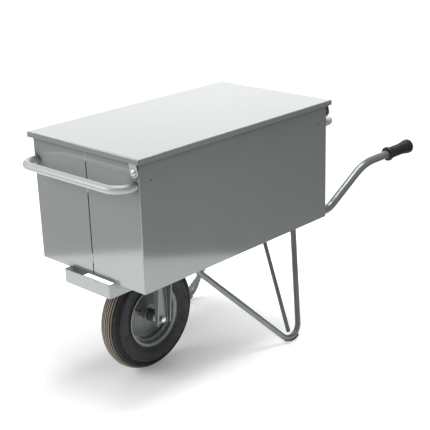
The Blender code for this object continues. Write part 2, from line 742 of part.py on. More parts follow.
def build_seam_welds():
    """Weld metal in the seam, at three heights on each end panel."""
    width = SEAM_GAP - 2 * CLEARANCE
    proud = SEAM_WELD_PROUD
    for end, face, outward in (("front", BOX_FRONT, 1), ("rear", BOX_REAR, -1)):
        for place, (low, high) in SEAM_WELDS.items():
            name = f"{end}_seam_weld_{place}"
            centre = (face - outward * (SHEET - proud) / 2, SEAM_Y, (low + high) / 2)
            weld = add_part(name, box_mesh(name, centre, (SHEET + proud, width, high - low)), PAINT)
            round_off = weld.modifiers.new("rounding", "BEVEL")
            round_off.width = 0.0006
            round_off.segments = 1


def build_loop(label, outward, panel_x):
    """A carrying loop: a tube bent to a U whose ends pass through the end panel."""
    reach_x = panel_x + outward * LOOP_REACH
    inside_x = panel_x - outward * LOOP_INSIDE
    corners = [Vector((inside_x, -LOOP_HALF_WIDTH, LOOP_Z)),
               Vector((reach_x, -LOOP_HALF_WIDTH, LOOP_Z)),
               Vector((reach_x, LOOP_HALF_WIDTH, LOOP_Z)),
               Vector((inside_x, LOOP_HALF_WIDTH, LOOP_Z))]
    hollow_tube(f"{label}_carrying_loop", rounded(corners, LOOP_BEND_RADIUS), LOOP_RADIUS,
                LOOP_WALL, PAINT)


# ---------------------------------------------------------------- lid
def build_lid():
    """A shallow pan with a folded skirt, slit at the corners where the folds meet."""
    mesh = bpy.data.meshes.new("lid_pan")
    shape = bmesh.new()
    half_x, half_y = LID_LENGTH / 2, LID_WIDTH / 2
    corners = ((-half_x, -half_y), (half_x, -half_y), (half_x, half_y), (-half_x, half_y))
    high = [shape.verts.new((BOX_CENTRE_X + x, y, LID_TOP)) for x, y in corners]
    low = [shape.verts.new((BOX_CENTRE_X + x, y, LID_TOP - LID_SKIRT)) for x, y in corners]
    shape.faces.new(high)
    for i in range(4):
        after = (i + 1) % 4
        shape.faces.new((low[i], low[after], high[after], high[i]))
    shape.to_mesh(mesh)
    shape.free()
    pan = add_part("lid_pan", mesh, PAINT)
    shell = pan.modifiers.new("sheet", "SOLIDIFY")
    shell.thickness = SHEET
    shell.offset = -1
    shell.use_even_offset = True
    for i, (x, y) in enumerate(corners):
        name = f"lid_corner_slit_{i + 1}"
        size = (2 * LID_CORNER_SLIT, 2 * LID_CORNER_SLIT, LID_SLIT_HEIGHT)
        centre = (BOX_CENTRE_X + x, y, LID_TOP - LID_SLIT_TOP - LID_SLIT_HEIGHT / 2)
        cut(pan, add_cutter(name, box_mesh(name, centre, size)))


def lug_outline():
    """Seen along +X: a plate that leans towards the hinge side, with a round lower end."""
    top = LID_TOP - SHEET - 0.001
    points = [(HINGE_Y + LUG_TOP_OUTER, top), (HINGE_Y - LUG_TOP_INNER, top)]
    steps = 9
    for i in range(steps + 1):
        angle = pi + (pi + LUG_END_ANGLE) * i / steps
        points.append((HINGE_Y + LUG_END_RADIUS * cos(angle), HINGE_Z + LUG_END_RADIUS * sin(angle)))
    return points


def build_hinge(label, outward, panel_x):
    """From the box outwards: nut, panel, spacer, lug, washer and bolt head, at one end of the lid."""
    skirt_inside = BOX_CENTRE_X + outward * (LID_LENGTH / 2 - SHEET - CLEARANCE)
    lug_inside = skirt_inside - outward * LUG_THICKNESS
    mesh = prism_mesh(f"{label}_hinge_lug", lug_outline(), *sorted((skirt_inside, lug_inside)))
    mesh.transform(Matrix(((0, 0, 1, 0), (1, 0, 0, 0), (0, 1, 0, 0), (0, 0, 0, 1))))
    lug = add_part(f"{label}_hinge_lug", mesh, PAINT)
    hole = rod_mesh(f"{label}_lug_hole", "X", (skirt_inside, HINGE_Y, HINGE_Z), -0.02, 0.02,
                    HINGE_BORE)
    cut(lug, add_cutter(f"{label}_lug_hole", hole))

    centre = (panel_x, HINGE_Y, HINGE_Z)
    spacer_ends = span(outward, CLEARANCE, abs(lug_inside - panel_x) - CLEARANCE)
    build_ring(f"{label}_hinge_spacer", "X", centre, spacer_ends, HINGE_BORE, HINGE_SPACER_RADIUS,
               PLATED)
    washer_near = abs(skirt_inside - panel_x) + CLEARANCE
    washer_far = washer_near + HINGE_WASHER_THICKNESS
    build_ring(f"{label}_hinge_washer", "X", centre, span(outward, washer_near, washer_far),
               HINGE_BORE, HINGE_WASHER_RADIUS, PLATED)
    nut_near = -SHEET - CLEARANCE
    nut_far = nut_near - M8_NUT_HEIGHT
    build_nut(f"{label}_hinge_nut", "X", centre, span(outward, nut_near, nut_far), M8_FLATS,
              HINGE_BOLT_RADIUS)
    head_near = washer_far + CLEARANCE
    build_bolt(f"{label}_hinge_bolt", "X", centre, outward * head_near,
               outward * (head_near + M8_HEAD_HEIGHT), outward * (nut_far - BOLT_END),
               HINGE_BOLT_RADIUS)


# ---------------------------------------------------------------- assembly
def hang_on_axis(name, place, members):
    """Moving pieces hang from an empty on their joint axis."""
    axis = bpy.data.objects.new(name, None)
    PARTS.objects.link(axis)
    axis.location = place
    bpy.context.view_layer.update()
    for member in members:
        part = bpy.data.objects[member]
        part.parent = axis
        part.matrix_parent_inverse = axis.matrix_world.inverted()


def build_all():
    build_axle()
    build_cross_tubes()
    for label, side in (("left", 1), ("right", -1)):
        build_frame_side(label, side)
        build_shell(label, side)
    fit_cross_tubes()
    build_bumper()
    build_axle_fittings()
    build_wheel()
    build_floor()
    build_box_bolts()
    build_seam_welds()
    build_lid()
    for label, outward, panel_x in (("front", 1, BOX_FRONT), ("rear", -1, BOX_REAR)):
        build_loop(label, outward, panel_x)
        build_hinge(label, outward, panel_x)
    hang_on_axis("lid_axis", (BOX_CENTRE_X, HINGE_Y, HINGE_Z),
                 ["lid_pan", "front_hinge_lug", "rear_hinge_lug"])
    hang_on_axis("wheel_axis", WHEEL_CENTRE,
                 ["tyre", "inner_tube", "wheel_rim", "wheel_disc", "wheel_hub", "valve_stem",
                  "valve_cap", "left_wheel_bearing", "right_wheel_bearing"])


build_all()
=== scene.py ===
"""Looks of a chest wheelbarrow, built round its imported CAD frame.

Units are metres in the frame's own coordinates: +X points to the wheel end, +Y to the side that
the lid is hinged on, +Z up.  The ground is at zero height.
"""

from math import cos, pi, radians, sin, sqrt, tan

import bmesh
import bpy
from mathutils import Matrix, Vector, noise


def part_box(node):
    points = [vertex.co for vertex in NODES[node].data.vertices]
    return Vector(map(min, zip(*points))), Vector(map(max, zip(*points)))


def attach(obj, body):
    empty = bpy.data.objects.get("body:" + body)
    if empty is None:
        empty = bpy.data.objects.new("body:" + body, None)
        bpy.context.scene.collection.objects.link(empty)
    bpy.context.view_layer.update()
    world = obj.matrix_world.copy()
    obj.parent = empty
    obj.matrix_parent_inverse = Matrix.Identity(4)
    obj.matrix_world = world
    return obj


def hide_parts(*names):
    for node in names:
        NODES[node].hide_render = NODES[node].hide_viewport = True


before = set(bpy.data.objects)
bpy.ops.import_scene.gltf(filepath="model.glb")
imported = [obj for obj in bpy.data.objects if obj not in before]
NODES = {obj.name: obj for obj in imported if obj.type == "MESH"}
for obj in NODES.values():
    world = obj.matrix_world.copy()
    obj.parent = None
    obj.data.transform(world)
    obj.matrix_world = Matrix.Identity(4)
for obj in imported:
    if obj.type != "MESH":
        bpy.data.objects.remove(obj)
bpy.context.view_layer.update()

FRAME_BODY, LID_BODY, WHEEL_BODY = "frame_and_box", "lid", "wheel"
AXIS_TURN = {"X": Matrix.Rotation(pi / 2, 4, "Y"), "-X": Matrix.Rotation(-pi / 2, 4, "Y"),
             "Y": Matrix.Rotation(-pi / 2, 4, "X"), "-Y": Matrix.Rotation(pi / 2, 4, "X"),
             "Z": Matrix.Identity(4), "-Z": Matrix.Rotation(pi, 4, "X")}
MIRROR = Matrix.Diagonal((1, -1, 1, 1))

# ---------------------------------------------------------------- sizes read from the frame
SHELL_LOW, SHELL_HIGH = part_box("box_left_shell")
BOX_REAR, BOX_FRONT = SHELL_LOW.x, SHELL_HIGH.x
BOX_HALF_WIDTH = SHELL_HIGH.y
BOX_BOTTOM, BOX_TOP = SHELL_LOW.z, SHELL_HIGH.z
BOX_MIDDLE = (BOX_REAR + BOX_FRONT) / 2
LID_LOW, LID_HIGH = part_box("lid_pan")
TYRE_LOW, TYRE_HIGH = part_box("tyre")
WHEEL_CENTRE = (TYRE_LOW + TYRE_HIGH) / 2
WHEEL_RADIUS = (TYRE_HIGH.z - TYRE_LOW.z) / 2
BOLT_LOW, BOLT_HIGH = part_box("front_hinge_bolt")
HINGE_Y = (BOLT_LOW.y + BOLT_HIGH.y) / 2
HINGE_Z = (BOLT_LOW.z + BOLT_HIGH.z) / 2

# ---------------------------------------------------------------- sizes of the design
SHEET = 0.002
FOLD_RADIUS = 0.003
SEAM_Y = 0.010
SEAM_GAP = 0.005
SEAM_WELDS = {"top": (0.818, 0.866), "middle": (0.713, 0.762), "lower": (0.470, 0.506)}
SIDE_HOLE_X = 0.416
SIDE_HOLE_Z = 0.792
SIDE_HOLE_RADIUS = 0.003

LOOP_RADIUS = 0.0135
LOOP_WALL = 0.002
LOOP_Z = 0.782
LOOP_HALF_WIDTH = 0.241
LOOP_REACH = 0.073
LOOP_BEND_RADIUS = 0.055
LOOP_INSIDE = 0.006

TUBE_RADIUS = 0.0165
TUBE_WALL = 0.002
TUBE_Z = 0.4092
TUBE_FRONT_X = 0.6297
TUBE_FRONT_Y = 0.1320
TUBE_SPREAD = 0.0586
HANDLE_SPREAD = 0.100
HANDLE_LOW_X = -0.3226
HANDLE_HIGH_X = -0.5252
HANDLE_HIGH_Z = 0.5490
HANDLE_END_X = -0.7960
HANDLE_END_Z = 0.5635
HANDLE_LOW_BEND = 0.090
HANDLE_HIGH_BEND = 0.200
GRIP_LENGTH = 0.140
GRIP_END_X = -0.8033

CROSS_RADIUS = 0.01345
CROSS_Z = 0.41225
CROSS_TUBES = {"rear_cross_tube": -0.0778, "mid_cross_tube": 0.2452}
LEG_RADIUS = 0.0108
LEG_FRONT_X = 0.4183
LEG_REAR_X = -0.1169
LEG_VERTEX = Vector((-0.0090, 0.2928, -0.0401))
LEG_BEND_RADIUS = 0.054
SHOE_THICKNESS = 0.0030
SHOE_HALF_WIDTH = 0.009
SHOE_START = radians(-33)
SHOE_END = radians(25)
BRACE_RADIUS = 0.0076
BRACE_TOP_Y = 0.036
BRACE_FOOT_LIFT = 0.0105
BRACE_FOOT_FORWARD = 0.005

BUMPER_SHEET = 0.005
BUMPER_BEND_RADIUS = 0.006
FORK_WEB_Y = 0.070
FORK_SHEET = 0.005
FORK_HALF_WIDTH = 0.032
FORK_EDGE_BOTTOM = 0.087
FORK_EDGE_TOP = 0.1092
AXLE_RADIUS = 0.006
HUB_RADIUS = 0.0220
HUB_BORE = 0.0163
HUB_HALF_LENGTH = 0.0480
DISC_SHEET = 0.003
RIM_SHEET = 0.0025
TYRE_HALF_WIDTH = 0.0425
VALVE_AROUND = radians(-33)
VALVE_LEAN = radians(-38)
VALVE_BASE = Vector((0.1005, 0.0115, 0))
LUG_END_RADIUS = 0.018
WELD_RADIUS = 0.0026

BOLT_RADIUS = 0.004
BOLT_BORE = 0.0043
BOLT_ACROSS_FLATS = 0.013
BOLT_HEAD_HEIGHT = 0.0053
AXLE_BORE = AXLE_RADIUS + 0.0004
AXLE_NUT_ACROSS_FLATS = 0.018
AXLE_THREAD_PITCH = 0.00175
LEG_WALL = 0.002
BRACE_WALL = 0.0015
LOOP_HOLE_RADIUS = 0.0150
GRIP_BORE = TUBE_RADIUS + 0.0003
GRIP_BORE_DEPTH = GRIP_LENGTH - 0.0062
GRIP_RIB_COUNT = 9
GRIP_RIB_PITCH = 0.0052

# Grooves round the tread: distance from the middle, half width and depth.
TREAD_GROOVES = ((0.0330, 0.0021, 0.0046), (0.0268, 0.0027, 0.0054), (0.0193, 0.0027, 0.0054),
                 (0.0116, 0.0026, 0.0052), (0.0039, 0.0023, 0.0050))
SHOULDER_GROOVES = (0.1690, 0.1757, 0.1822)
SHOULDER_GROOVE_HALF_WIDTH = 0.0020
SHOULDER_GROOVE_DEPTH = 0.0042
SIDEWALL_RINGS = ((0.1215, 0.1245), (0.1570, 0.1610))
SIDEWALL_RING_HEIGHT = 0.0008
NUB_COUNT = 96
NUB_CIRCLES = ((0.1270, 0.0358), (0.1450, 0.0412), (0.1600, 0.0424), (0.1740, 0.0384))
GOLDEN_ANGLE = 2.39996

CAMERA_PLACE = Vector((2.6474, 2.4149, 1.7227))
CAMERA_YAW = radians(-136.294)
CAMERA_PITCH = radians(-19.762)
CAMERA_ROLL = radians(-1.809)
CAMERA_LENS = 84.06
FLOOR_SIZE = 160
# The floor's glow, painted light: weak under the barrow, stronger round it, which lightens the shadow's
# edge, and strongest far off.
FLOOR_GLOW_MIDDLE = (0.40, -0.25, 0)
FLOOR_GLOW_UNDER = 0.15
FLOOR_GLOW_ROUND = 0.54
FLOOR_GLOW_FAR = 0.46
WORLD_STRENGTH = 0.20
FLAG_WIDTH = 7
FLAG_LENGTH = 6


# ---------------------------------------------------------------- shader nodes
class Shader:
    """A Principled material whose textures are laid out in metres on the piece itself."""

    def __init__(self, name, metallic=0.0, **settings):
        self.material = bpy.data.materials.new(name)
        self.material.use_nodes = True
        self.tree = self.material.node_tree
        self.surface = self.tree.nodes["Principled BSDF"]
        self.surface.inputs["Metallic"].default_value = metallic
        for socket, value in settings.items():
            self.surface.inputs[socket.replace("_", " ")].default_value = value
        self.place = self.tree.nodes.new("ShaderNodeTexCoord").outputs["Object"]
        self.height = None

    def node(self, kind, inputs=(), **settings):
        made = self.tree.nodes.new(kind)
        for name, value in settings.items():
            setattr(made, name, value)
        for socket, value in dict(inputs).items():
            if isinstance(value, bpy.types.NodeSocket):
                self.tree.links.new(value, made.inputs[socket])
            else:
                made.inputs[socket].default_value = value
        return made

    def noise(self, scale, detail=2.0, roughness=0.5, place=None):
        made = self.node("ShaderNodeTexNoise", {"Vector": place or self.place, "Scale": scale,
                                                "Detail": detail, "Roughness": roughness})
        return made.outputs["Fac"]

    def spread(self, value, low, high, to_low=0.0, to_high=1.0):
        """The value's range low to high, mapped onto another range and held there."""
        made = self.node("ShaderNodeMapRange", {"Value": value, "From Min": low, "From Max": high,
                                                "To Min": to_low, "To Max": to_high})
        return made.outputs["Result"]

    def maths(self, operation, first, second=0.0):
        return self.node("ShaderNodeMath", {0: first, 1: second}, operation=operation).outputs[0]

    def mix(self, share, first, second):
        made = self.node("ShaderNodeMix", {0: share, 6: first, 7: second}, data_type="RGBA")
        return made.outputs[2]

    def along(self, axis):
        split = self.node("ShaderNodeSeparateXYZ", {0: self.place})
        return split.outputs[axis]

    def add_bump(self, height, distance, strength=1.0):
        """Adds fine relief of the given depth in metres on top of what is there."""
        made = self.node("ShaderNodeBump", {"Height": height, "Distance": distance,
                                            "Strength": strength})
        if self.height is not None:
            self.tree.links.new(self.height, made.inputs["Normal"])
        self.height = made.outputs["Normal"]
        self.tree.links.new(self.height, self.surface.inputs["Normal"])

    def set(self, socket, value):
        self.tree.links.new(value, self.surface.inputs[socket])


def edge_wear(shader):
    """High on sharp outer edges, broken up by noise."""
    soft = shader.node("ShaderNodeBevel", {"Radius": 0.0016}, samples=4).outputs["Normal"]
    normal = shader.node("ShaderNodeNewGeometry").outputs["Normal"]
    same = shader.node("ShaderNodeVectorMath", {0: soft, 1: normal},
                       operation="DOT_PRODUCT").outputs["Value"]
    edge = shader.spread(same, 0.985, 0.90)
    patches = shader.spread(shader.noise(90, 3), 0.45, 0.62)
    return shader.maths("MULTIPLY", edge, patches)


def upward(shader):
    """High on surfaces that face up, where dust settles."""
    normal = shader.node("ShaderNodeNewGeometry").outputs["Normal"]
    up = shader.node("ShaderNodeSeparateXYZ", {0: normal}).outputs["Z"]
    return shader.spread(up, 0.55, 0.95)


def paint_material(name, dark=(0.345, 0.368, 0.356, 1), light=(0.355, 0.380, 0.369, 1),
                   metallic=0.38, gloss=0.085, relief=0.00004, wave=0.0006):
    """Grey enamel: blurred reflections, faint orange peel, a little dust, worn edges here and there, and
    shade painted dark into narrow places.
    """
    paint = Shader(name, metallic=metallic)
    colour = paint.mix(paint.spread(paint.noise(2.2, 3), 0.35, 0.65), dark, light)
    dust = paint.maths("MULTIPLY", upward(paint), paint.spread(paint.noise(3.5, 4, 0.6), 0.48, 0.75))
    colour = paint.mix(paint.maths("MULTIPLY", dust, 0.10), colour, (0.50, 0.49, 0.46, 1))
    low_down = paint.spread(paint.along("Z"), 0.10, 0.0)
    dirt = paint.maths("MULTIPLY", low_down, paint.spread(paint.noise(45, 4, 0.65), 0.45, 0.7))
    colour = paint.mix(paint.maths("MULTIPLY", dirt, 0.5), colour, (0.20, 0.19, 0.17, 1))
    worn = edge_wear(paint)
    # Painted shade: ambient occlusion darkens the colour in the narrow places, under the lid, round the
    # loops and the lugs, where shadow falls.
    occlusion_for_painted_shade = paint.node("ShaderNodeAmbientOcclusion", {"Distance": 0.035}, samples=12).outputs["AO"]
    outside_painted_shade = paint.spread(occlusion_for_painted_shade, 0.35, 0.95)
    colour = paint.mix(paint.maths("MULTIPLY", worn, 0.35), colour, (0.56, 0.57, 0.56, 1))
    paint.set("Base Color", paint.mix(outside_painted_shade, (0.07, 0.075, 0.07, 1), colour))
    gloss_patches = paint.spread(paint.noise(5, 4, 0.6), 0.3, 0.7, gloss, gloss + 0.03)
    paint.set("Roughness", paint.maths("ADD", gloss_patches, paint.maths("MULTIPLY", dust, 0.05)))
    paint.add_bump(paint.noise(2.6, 1), wave, 0.5)
    paint.add_bump(paint.noise(420, 2), relief, 0.3)
    return paint.material


def zinc_material(name):
    """Bright zinc plate: a faint yellow and blue bloom, fine scratches, dull patches."""
    zinc = Shader(name, metallic=1.0)
    bloom = zinc.spread(zinc.noise(60, 2), 0.35, 0.65)
    zinc.set("Base Color", zinc.mix(bloom, (0.80, 0.82, 0.86, 1), (0.84, 0.83, 0.77, 1)))
    zinc.set("Roughness", zinc.spread(zinc.noise(140, 4, 0.6), 0.3, 0.7, 0.20, 0.40))
    stretched = zinc.node("ShaderNodeMapping", {"Vector": zinc.place, "Scale": (900, 90, 900)})
    zinc.add_bump(zinc.noise(1.0, 2, 0.5, stretched.outputs[0]), 0.00008, 0.35)
    return zinc.material


def bearing_material(name):
    steel = Shader(name, metallic=0.5)
    tone = steel.spread(steel.noise(80, 3), 0.35, 0.65)
    steel.set("Base Color", steel.mix(tone, (0.50, 0.50, 0.50, 1), (0.62, 0.62, 0.60, 1)))
    steel.set("Roughness", steel.maths("ADD", steel.maths("MULTIPLY", tone, 0.2), 0.30))
    steel.add_bump(steel.noise(1500, 2), 0.00005, 0.3)
    return steel.material


def rubber_material(name):
    """Black moulded rubber with a fine grain, rubbed smoother in patches."""
    rubber = Shader(name)
    tone = rubber.spread(rubber.noise(35, 4, 0.6), 0.35, 0.7)
    colour = rubber.mix(tone, (0.011, 0.011, 0.012, 1), (0.020, 0.020, 0.019, 1))
    dust = rubber.maths("MULTIPLY", upward(rubber), rubber.spread(rubber.noise(160, 4, 0.7), 0.5, 0.8))
    dust = rubber.maths("MULTIPLY", dust, 0.25)
    rubber.set("Base Color", rubber.mix(dust, colour, (0.13, 0.12, 0.11, 1)))
    rubber.set("Roughness", rubber.spread(rubber.noise(50, 3), 0.3, 0.7, 0.42, 0.62))
    rubber.add_bump(rubber.noise(1400, 2, 0.6), 0.00012, 0.5)
    return rubber.material


def tyre_material(name):
    """Near-black rubber: tan dust on the ribs of the tread, a grey bloom on the sidewall."""
    tyre = Shader(name)
    from_axle = tyre.node("ShaderNodeVectorMath", {0: tyre.place, 1: tuple(WHEEL_CENTRE)},
                          operation="SUBTRACT").outputs[0]
    flat = tyre.node("ShaderNodeVectorMath", {0: from_axle, 1: (1, 0, 1)}, operation="MULTIPLY").outputs[0]
    radius = tyre.node("ShaderNodeVectorMath", {0: flat}, operation="LENGTH").outputs["Value"]
    tone = tyre.spread(tyre.noise(28, 4, 0.6), 0.35, 0.7)
    colour = tyre.mix(tone, (0.012, 0.012, 0.013, 1), (0.022, 0.023, 0.024, 1))
    bloom = tyre.maths("MULTIPLY", tyre.spread(radius, 0.19, 0.14),
                       tyre.spread(tyre.noise(60, 4, 0.7), 0.4, 0.8))
    colour = tyre.mix(tyre.maths("MULTIPLY", bloom, 0.25), colour, (0.075, 0.078, 0.080, 1))
    across = tyre.node("ShaderNodeSeparateXYZ", {0: from_axle}).outputs["Y"]
    crown_drop = tyre.maths("MULTIPLY", tyre.maths("MULTIPLY", across, across), 13.0)
    tread = tyre.spread(tyre.maths("ADD", radius, crown_drop), 0.1983, 0.1992)
    centre_band = tyre.spread(tyre.maths("ABSOLUTE", across), 0.031, 0.019)
    tread = tyre.maths("MULTIPLY", tread, centre_band)
    grit = tyre.spread(tyre.noise(70, 4, 0.7), 0.26, 0.42)
    dust = tyre.maths("MULTIPLY", tread, grit)
    tyre.set("Base Color", tyre.mix(tyre.maths("MULTIPLY", dust, 0.80), colour, (0.43, 0.375, 0.28, 1)))
    tyre.set("Roughness", tyre.spread(tyre.noise(40, 3), 0.3, 0.7, 0.50, 0.72))
    tyre.add_bump(tyre.noise(900, 3, 0.6), 0.00025, 0.6)
    return tyre.material


PAINT = paint_material("grey_enamel")
# Copies of the one grey enamel in other tones: darker on the tubes, fork arms, rim and wheel as painted
# shade, lighter on the loops, lugs and welds as painted light.
SHADED_TUBE_PAINT = paint_material("grey_enamel_shaded_on_tube", (0.225, 0.242, 0.238, 1), (0.245, 0.264, 0.258, 1),
                            0.30, 0.14)
LIT_LOOP_PAINT = paint_material("grey_enamel_lit_on_loop", (0.44, 0.46, 0.455, 1), (0.47, 0.49, 0.485, 1),
                            0.12, 0.33)
SHADED_RIM_PAINT = paint_material("grey_enamel_shaded_on_rim", (0.21, 0.225, 0.225, 1), (0.24, 0.255, 0.255, 1),
                           0.35, 0.20)
SHADED_WHEEL_PAINT = paint_material("grey_enamel_shaded_on_wheel", (0.13, 0.14, 0.14, 1), (0.16, 0.17, 0.17, 1),
                             0.35, 0.22)
LIT_WELD_PAINT = paint_material("grey_enamel_lit_on_weld", (0.47, 0.50, 0.48, 1), (0.56, 0.58, 0.57, 1),
                            gloss=0.22, relief=0.0005)
ZINC = zinc_material("zinc_plated_steel")
BEARING = bearing_material("bearing_steel")
RUBBER = rubber_material("moulded_rubber")
TYRE = tyre_material("tyre_rubber")
SLOTS = {paint: "grey_paint"
         for paint in (PAINT, SHADED_TUBE_PAINT, LIT_LOOP_PAINT, SHADED_RIM_PAINT, SHADED_WHEEL_PAINT, LIT_WELD_PAINT)}
SLOTS.update({ZINC: "zinc_plate", BEARING: "bearing_steel", RUBBER: "black_rubber", TYRE: "tyre_rubber"})


# ---------------------------------------------------------------- making pieces
def finish_piece(name, shape, finish, body, replaced=(), smooth_angle=32):
    """Turns a bmesh into a piece that rides on a body and stands for the given CAD nodes."""
    bmesh.ops.recalc_face_normals(shape, faces=shape.faces)
    mesh = bpy.data.meshes.new(name)
    shape.to_mesh(mesh)
    shape.free()
    mesh.materials.append(finish)
    mesh.shade_smooth()
    mesh.set_sharp_from_angle(angle=radians(smooth_angle))
    piece = bpy.data.objects.new(name, mesh)
    bpy.context.scene.collection.objects.link(piece)
    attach(piece, body)
    if replaced:
        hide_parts(*replaced)
    return piece


def add_bevel(piece, width, segments=2, angle=35):
    bevel = piece.modifiers.new("edge", "BEVEL")
    bevel.width = width
    bevel.segments = segments
    bevel.limit_method = "ANGLE"
    bevel.angle_limit = radians(angle)
    bevel.harden_normals = True


def cut_holes(piece, shapes):
    """Cuts the given bmeshes out of the piece for good."""
    for shape in shapes:
        mesh = bpy.data.meshes.new("cutter")
        shape.to_mesh(mesh)
        shape.free()
        cutter = bpy.data.objects.new("cutter", mesh)
        bpy.context.scene.collection.objects.link(cutter)
        modifier = piece.modifiers.new("hole", "BOOLEAN")
        modifier.operation = "DIFFERENCE"
        modifier.solver = "EXACT"
        modifier.object = cutter
        bpy.context.view_layer.update()
        made = bpy.data.meshes.new_from_object(piece.evaluated_get(bpy.context.evaluated_depsgraph_get()))
        piece.modifiers.remove(modifier)
        old = piece.data
        piece.data = made
        bpy.data.meshes.remove(old)
        bpy.data.objects.remove(cutter, do_unlink=True)


def box_shape(low, high):
    shape = bmesh.new()
    bmesh.ops.create_cube(shape, size=1)
    size = Vector(high) - Vector(low)
    middle = (Vector(high) + Vector(low)) / 2
    place = Matrix.Translation(middle) @ Matrix.Diagonal((*size, 1))
    bmesh.ops.transform(shape, verts=shape.verts, matrix=place)
    return shape


def rod_shape(axis, centre, start, end, radius, sides=48):
    shape = bmesh.new()
    bmesh.ops.create_cone(shape, cap_ends=True, segments=sides, radius1=radius, radius2=radius,
                          depth=end - start)
    place = Matrix.Translation(centre) @ AXIS_TURN[axis] @ Matrix.Translation((0, 0, (start + end) / 2))
    bmesh.ops.transform(shape, verts=shape.verts, matrix=place)
    return shape


def rounded(points, radius, steps=14, closed=False):
    """The polyline with its corners replaced by arcs."""
    count = len(points)
    path = []
    for i, corner in enumerate(points):
        if not closed and i in (0, count - 1):
            path.append(corner.copy())
            continue
        to_before = (points[i - 1] - corner).normalized()
        to_after = (points[(i + 1) % count] - corner).normalized()
        half = to_before.angle(to_after) / 2
        centre = corner + (to_before + to_after).normalized() * radius / sin(half)
        start = corner + to_before * radius / tan(half) - centre
        end = corner + to_after * radius / tan(half) - centre
        turn = start.angle(end)
        across = (end - start * cos(turn)) / sin(turn)
        path += [centre + start * cos(turn * s / steps) + across * sin(turn * s / steps)
                 for s in range(steps + 1)]
    return path


def crosswise(path, closed):
    """Two directions across the path at each of its points, turned as little as possible."""
    count = len(path)
    rows = []
    side = None
    for i in range(count):
        before = path[i - 1] if closed or i else path[0]
        after = path[(i + 1) % count] if closed or i < count - 1 else path[-1]
        ahead = (after - before).normalized()
        if side is None:
            side = ahead.orthogonal()
        side = (side - ahead * side.dot(ahead)).normalized()
        rows.append((side.copy(), ahead.cross(side)))
    return rows


def ring_of(shape, centre, first, second, radius, sides):
    turns = [2 * pi * k / sides for k in range(sides)]
    return [shape.verts.new(centre + (first * cos(turn) + second * sin(turn)) * radius) for turn in turns]


def bridge(shape, one, other):
    count = len(one)
    for k in range(count):
        after = (k + 1) % count
        shape.faces.new((one[k], one[after], other[after], other[k]))


def bridge_row(shape, rings):
    for one, other in zip(rings, rings[1:]):
        bridge(shape, one, other)


def sweep_into(shape, path, radii, sides, wall=None, closed=False):
    """A round section along a path; with a wall it is a tube whose ends are open."""
    rows = crosswise(path, closed)
    outer = [ring_of(shape, p, a, b, r, sides) for p, (a, b), r in zip(path, rows, radii)]
    bridge_row(shape, outer)
    if closed:
        bridge(shape, outer[-1], outer[0])
    elif wall:
        inner = [ring_of(shape, p, a, b, r - wall, sides) for p, (a, b), r in zip(path, rows, radii)]
        for one, other in zip(inner, inner[1:]):
            bridge(shape, other, one)
        bridge(shape, inner[0], outer[0])
        bridge(shape, outer[-1], inner[-1])
    else:
        shape.faces.new(outer[0][::-1])
        shape.faces.new(outer[-1])


def add_tube(name, path, radius, wall, finish, body, replaced, sides=40):
    shape = bmesh.new()
    sweep_into(shape, path, [radius] * len(path), sides, wall)
    return finish_piece(name, shape, finish, body, replaced)


def bead_into(shape, path, radius, closed, seed=0.0, sides=10):
    """A hand-laid weld bead: small overlapping ripples and an uneven width."""
    points = []
    for i, point in enumerate(path):
        wander = noise.noise_vector(point * 130 + Vector((seed, 0, 0))) * radius * 0.22
        points.append(point + wander)
    radii = [radius * (1 + 0.13 * sin(i * pi / 2.0) + 0.25 * noise.noise(p * 60 + Vector((0, seed, 0))))
             for i, p in enumerate(points)]
    if not closed:
        radii[0] = radii[-1] = radius * 0.35
    sweep_into(shape, points, radii, sides, closed=closed)


def add_beads(name, paths, radius, body, closed=True, replaced=()):
    shape = bmesh.new()
    for i, path in enumerate(paths):
        bead_into(shape, path, radius, closed, seed=3.7 * i)
    return finish_piece(name, shape, LIT_WELD_PAINT, body, replaced, smooth_angle=60)


def line_points(start, end, spacing=0.0011):
    count = max(4, round((end - start).length / spacing))
    return [start.lerp(end, i / count) for i in range(count + 1)]


def circle_points(centre, first, second, radius, steps):
    return [centre + (first * cos(2 * pi * i / steps) + second * sin(2 * pi * i / steps)) * radius
            for i in range(steps)]


def tube_joint(outside, direction, radius, axis_point, axis_direction, axis_radius, steps=72):
    """The line where a tube's surface runs into a second tube, which is where the weld goes."""
    first = direction.orthogonal().normalized()
    second = direction.cross(first).normalized()
    along = axis_direction.normalized()
    points = []
    for start in circle_points(outside, first, second, radius, steps):
        gap = start - axis_point
        p = gap - along * gap.dot(along)
        d = direction - along * direction.dot(along)
        a, b, c = d.dot(d), 2 * p.dot(d), p.dot(p) - axis_radius ** 2
        root = sqrt(max(b * b - 4 * a * c, 0))
        points.append(start + direction * ((-b - root) / (2 * a)))
    return points


def lathe_into(shape, profile, place, steps, closed=True, wobble=None):
    """Turns (radius, distance along Z) points about Z and puts the result in place."""
    rings = []
    for radius, along in profile:
        if radius < 1e-6:
            rings.append([shape.verts.new(place @ Vector((0, 0, along)))])
            continue
        ring = []
        for k in range(steps):
            turn = 2 * pi * k / steps
            reach = radius + (wobble(turn, radius, along) if wobble else 0)
            ring.append(shape.verts.new(place @ Vector((reach * cos(turn), reach * sin(turn), along))))
        rings.append(ring)
    pairs = list(zip(rings, rings[1:]))
    if closed:
        pairs.append((rings[-1], rings[0]))
    for one, other in pairs:
        if len(one) == 1 and len(other) == 1:
            continue
        if len(one) == 1 or len(other) == 1:
            tip, ring = (one[0], other) if len(one) == 1 else (other[0], one)
            for k in range(steps):
                shape.faces.new((tip, ring[k], ring[(k + 1) % steps]))
            continue
        bridge(shape, one, other)


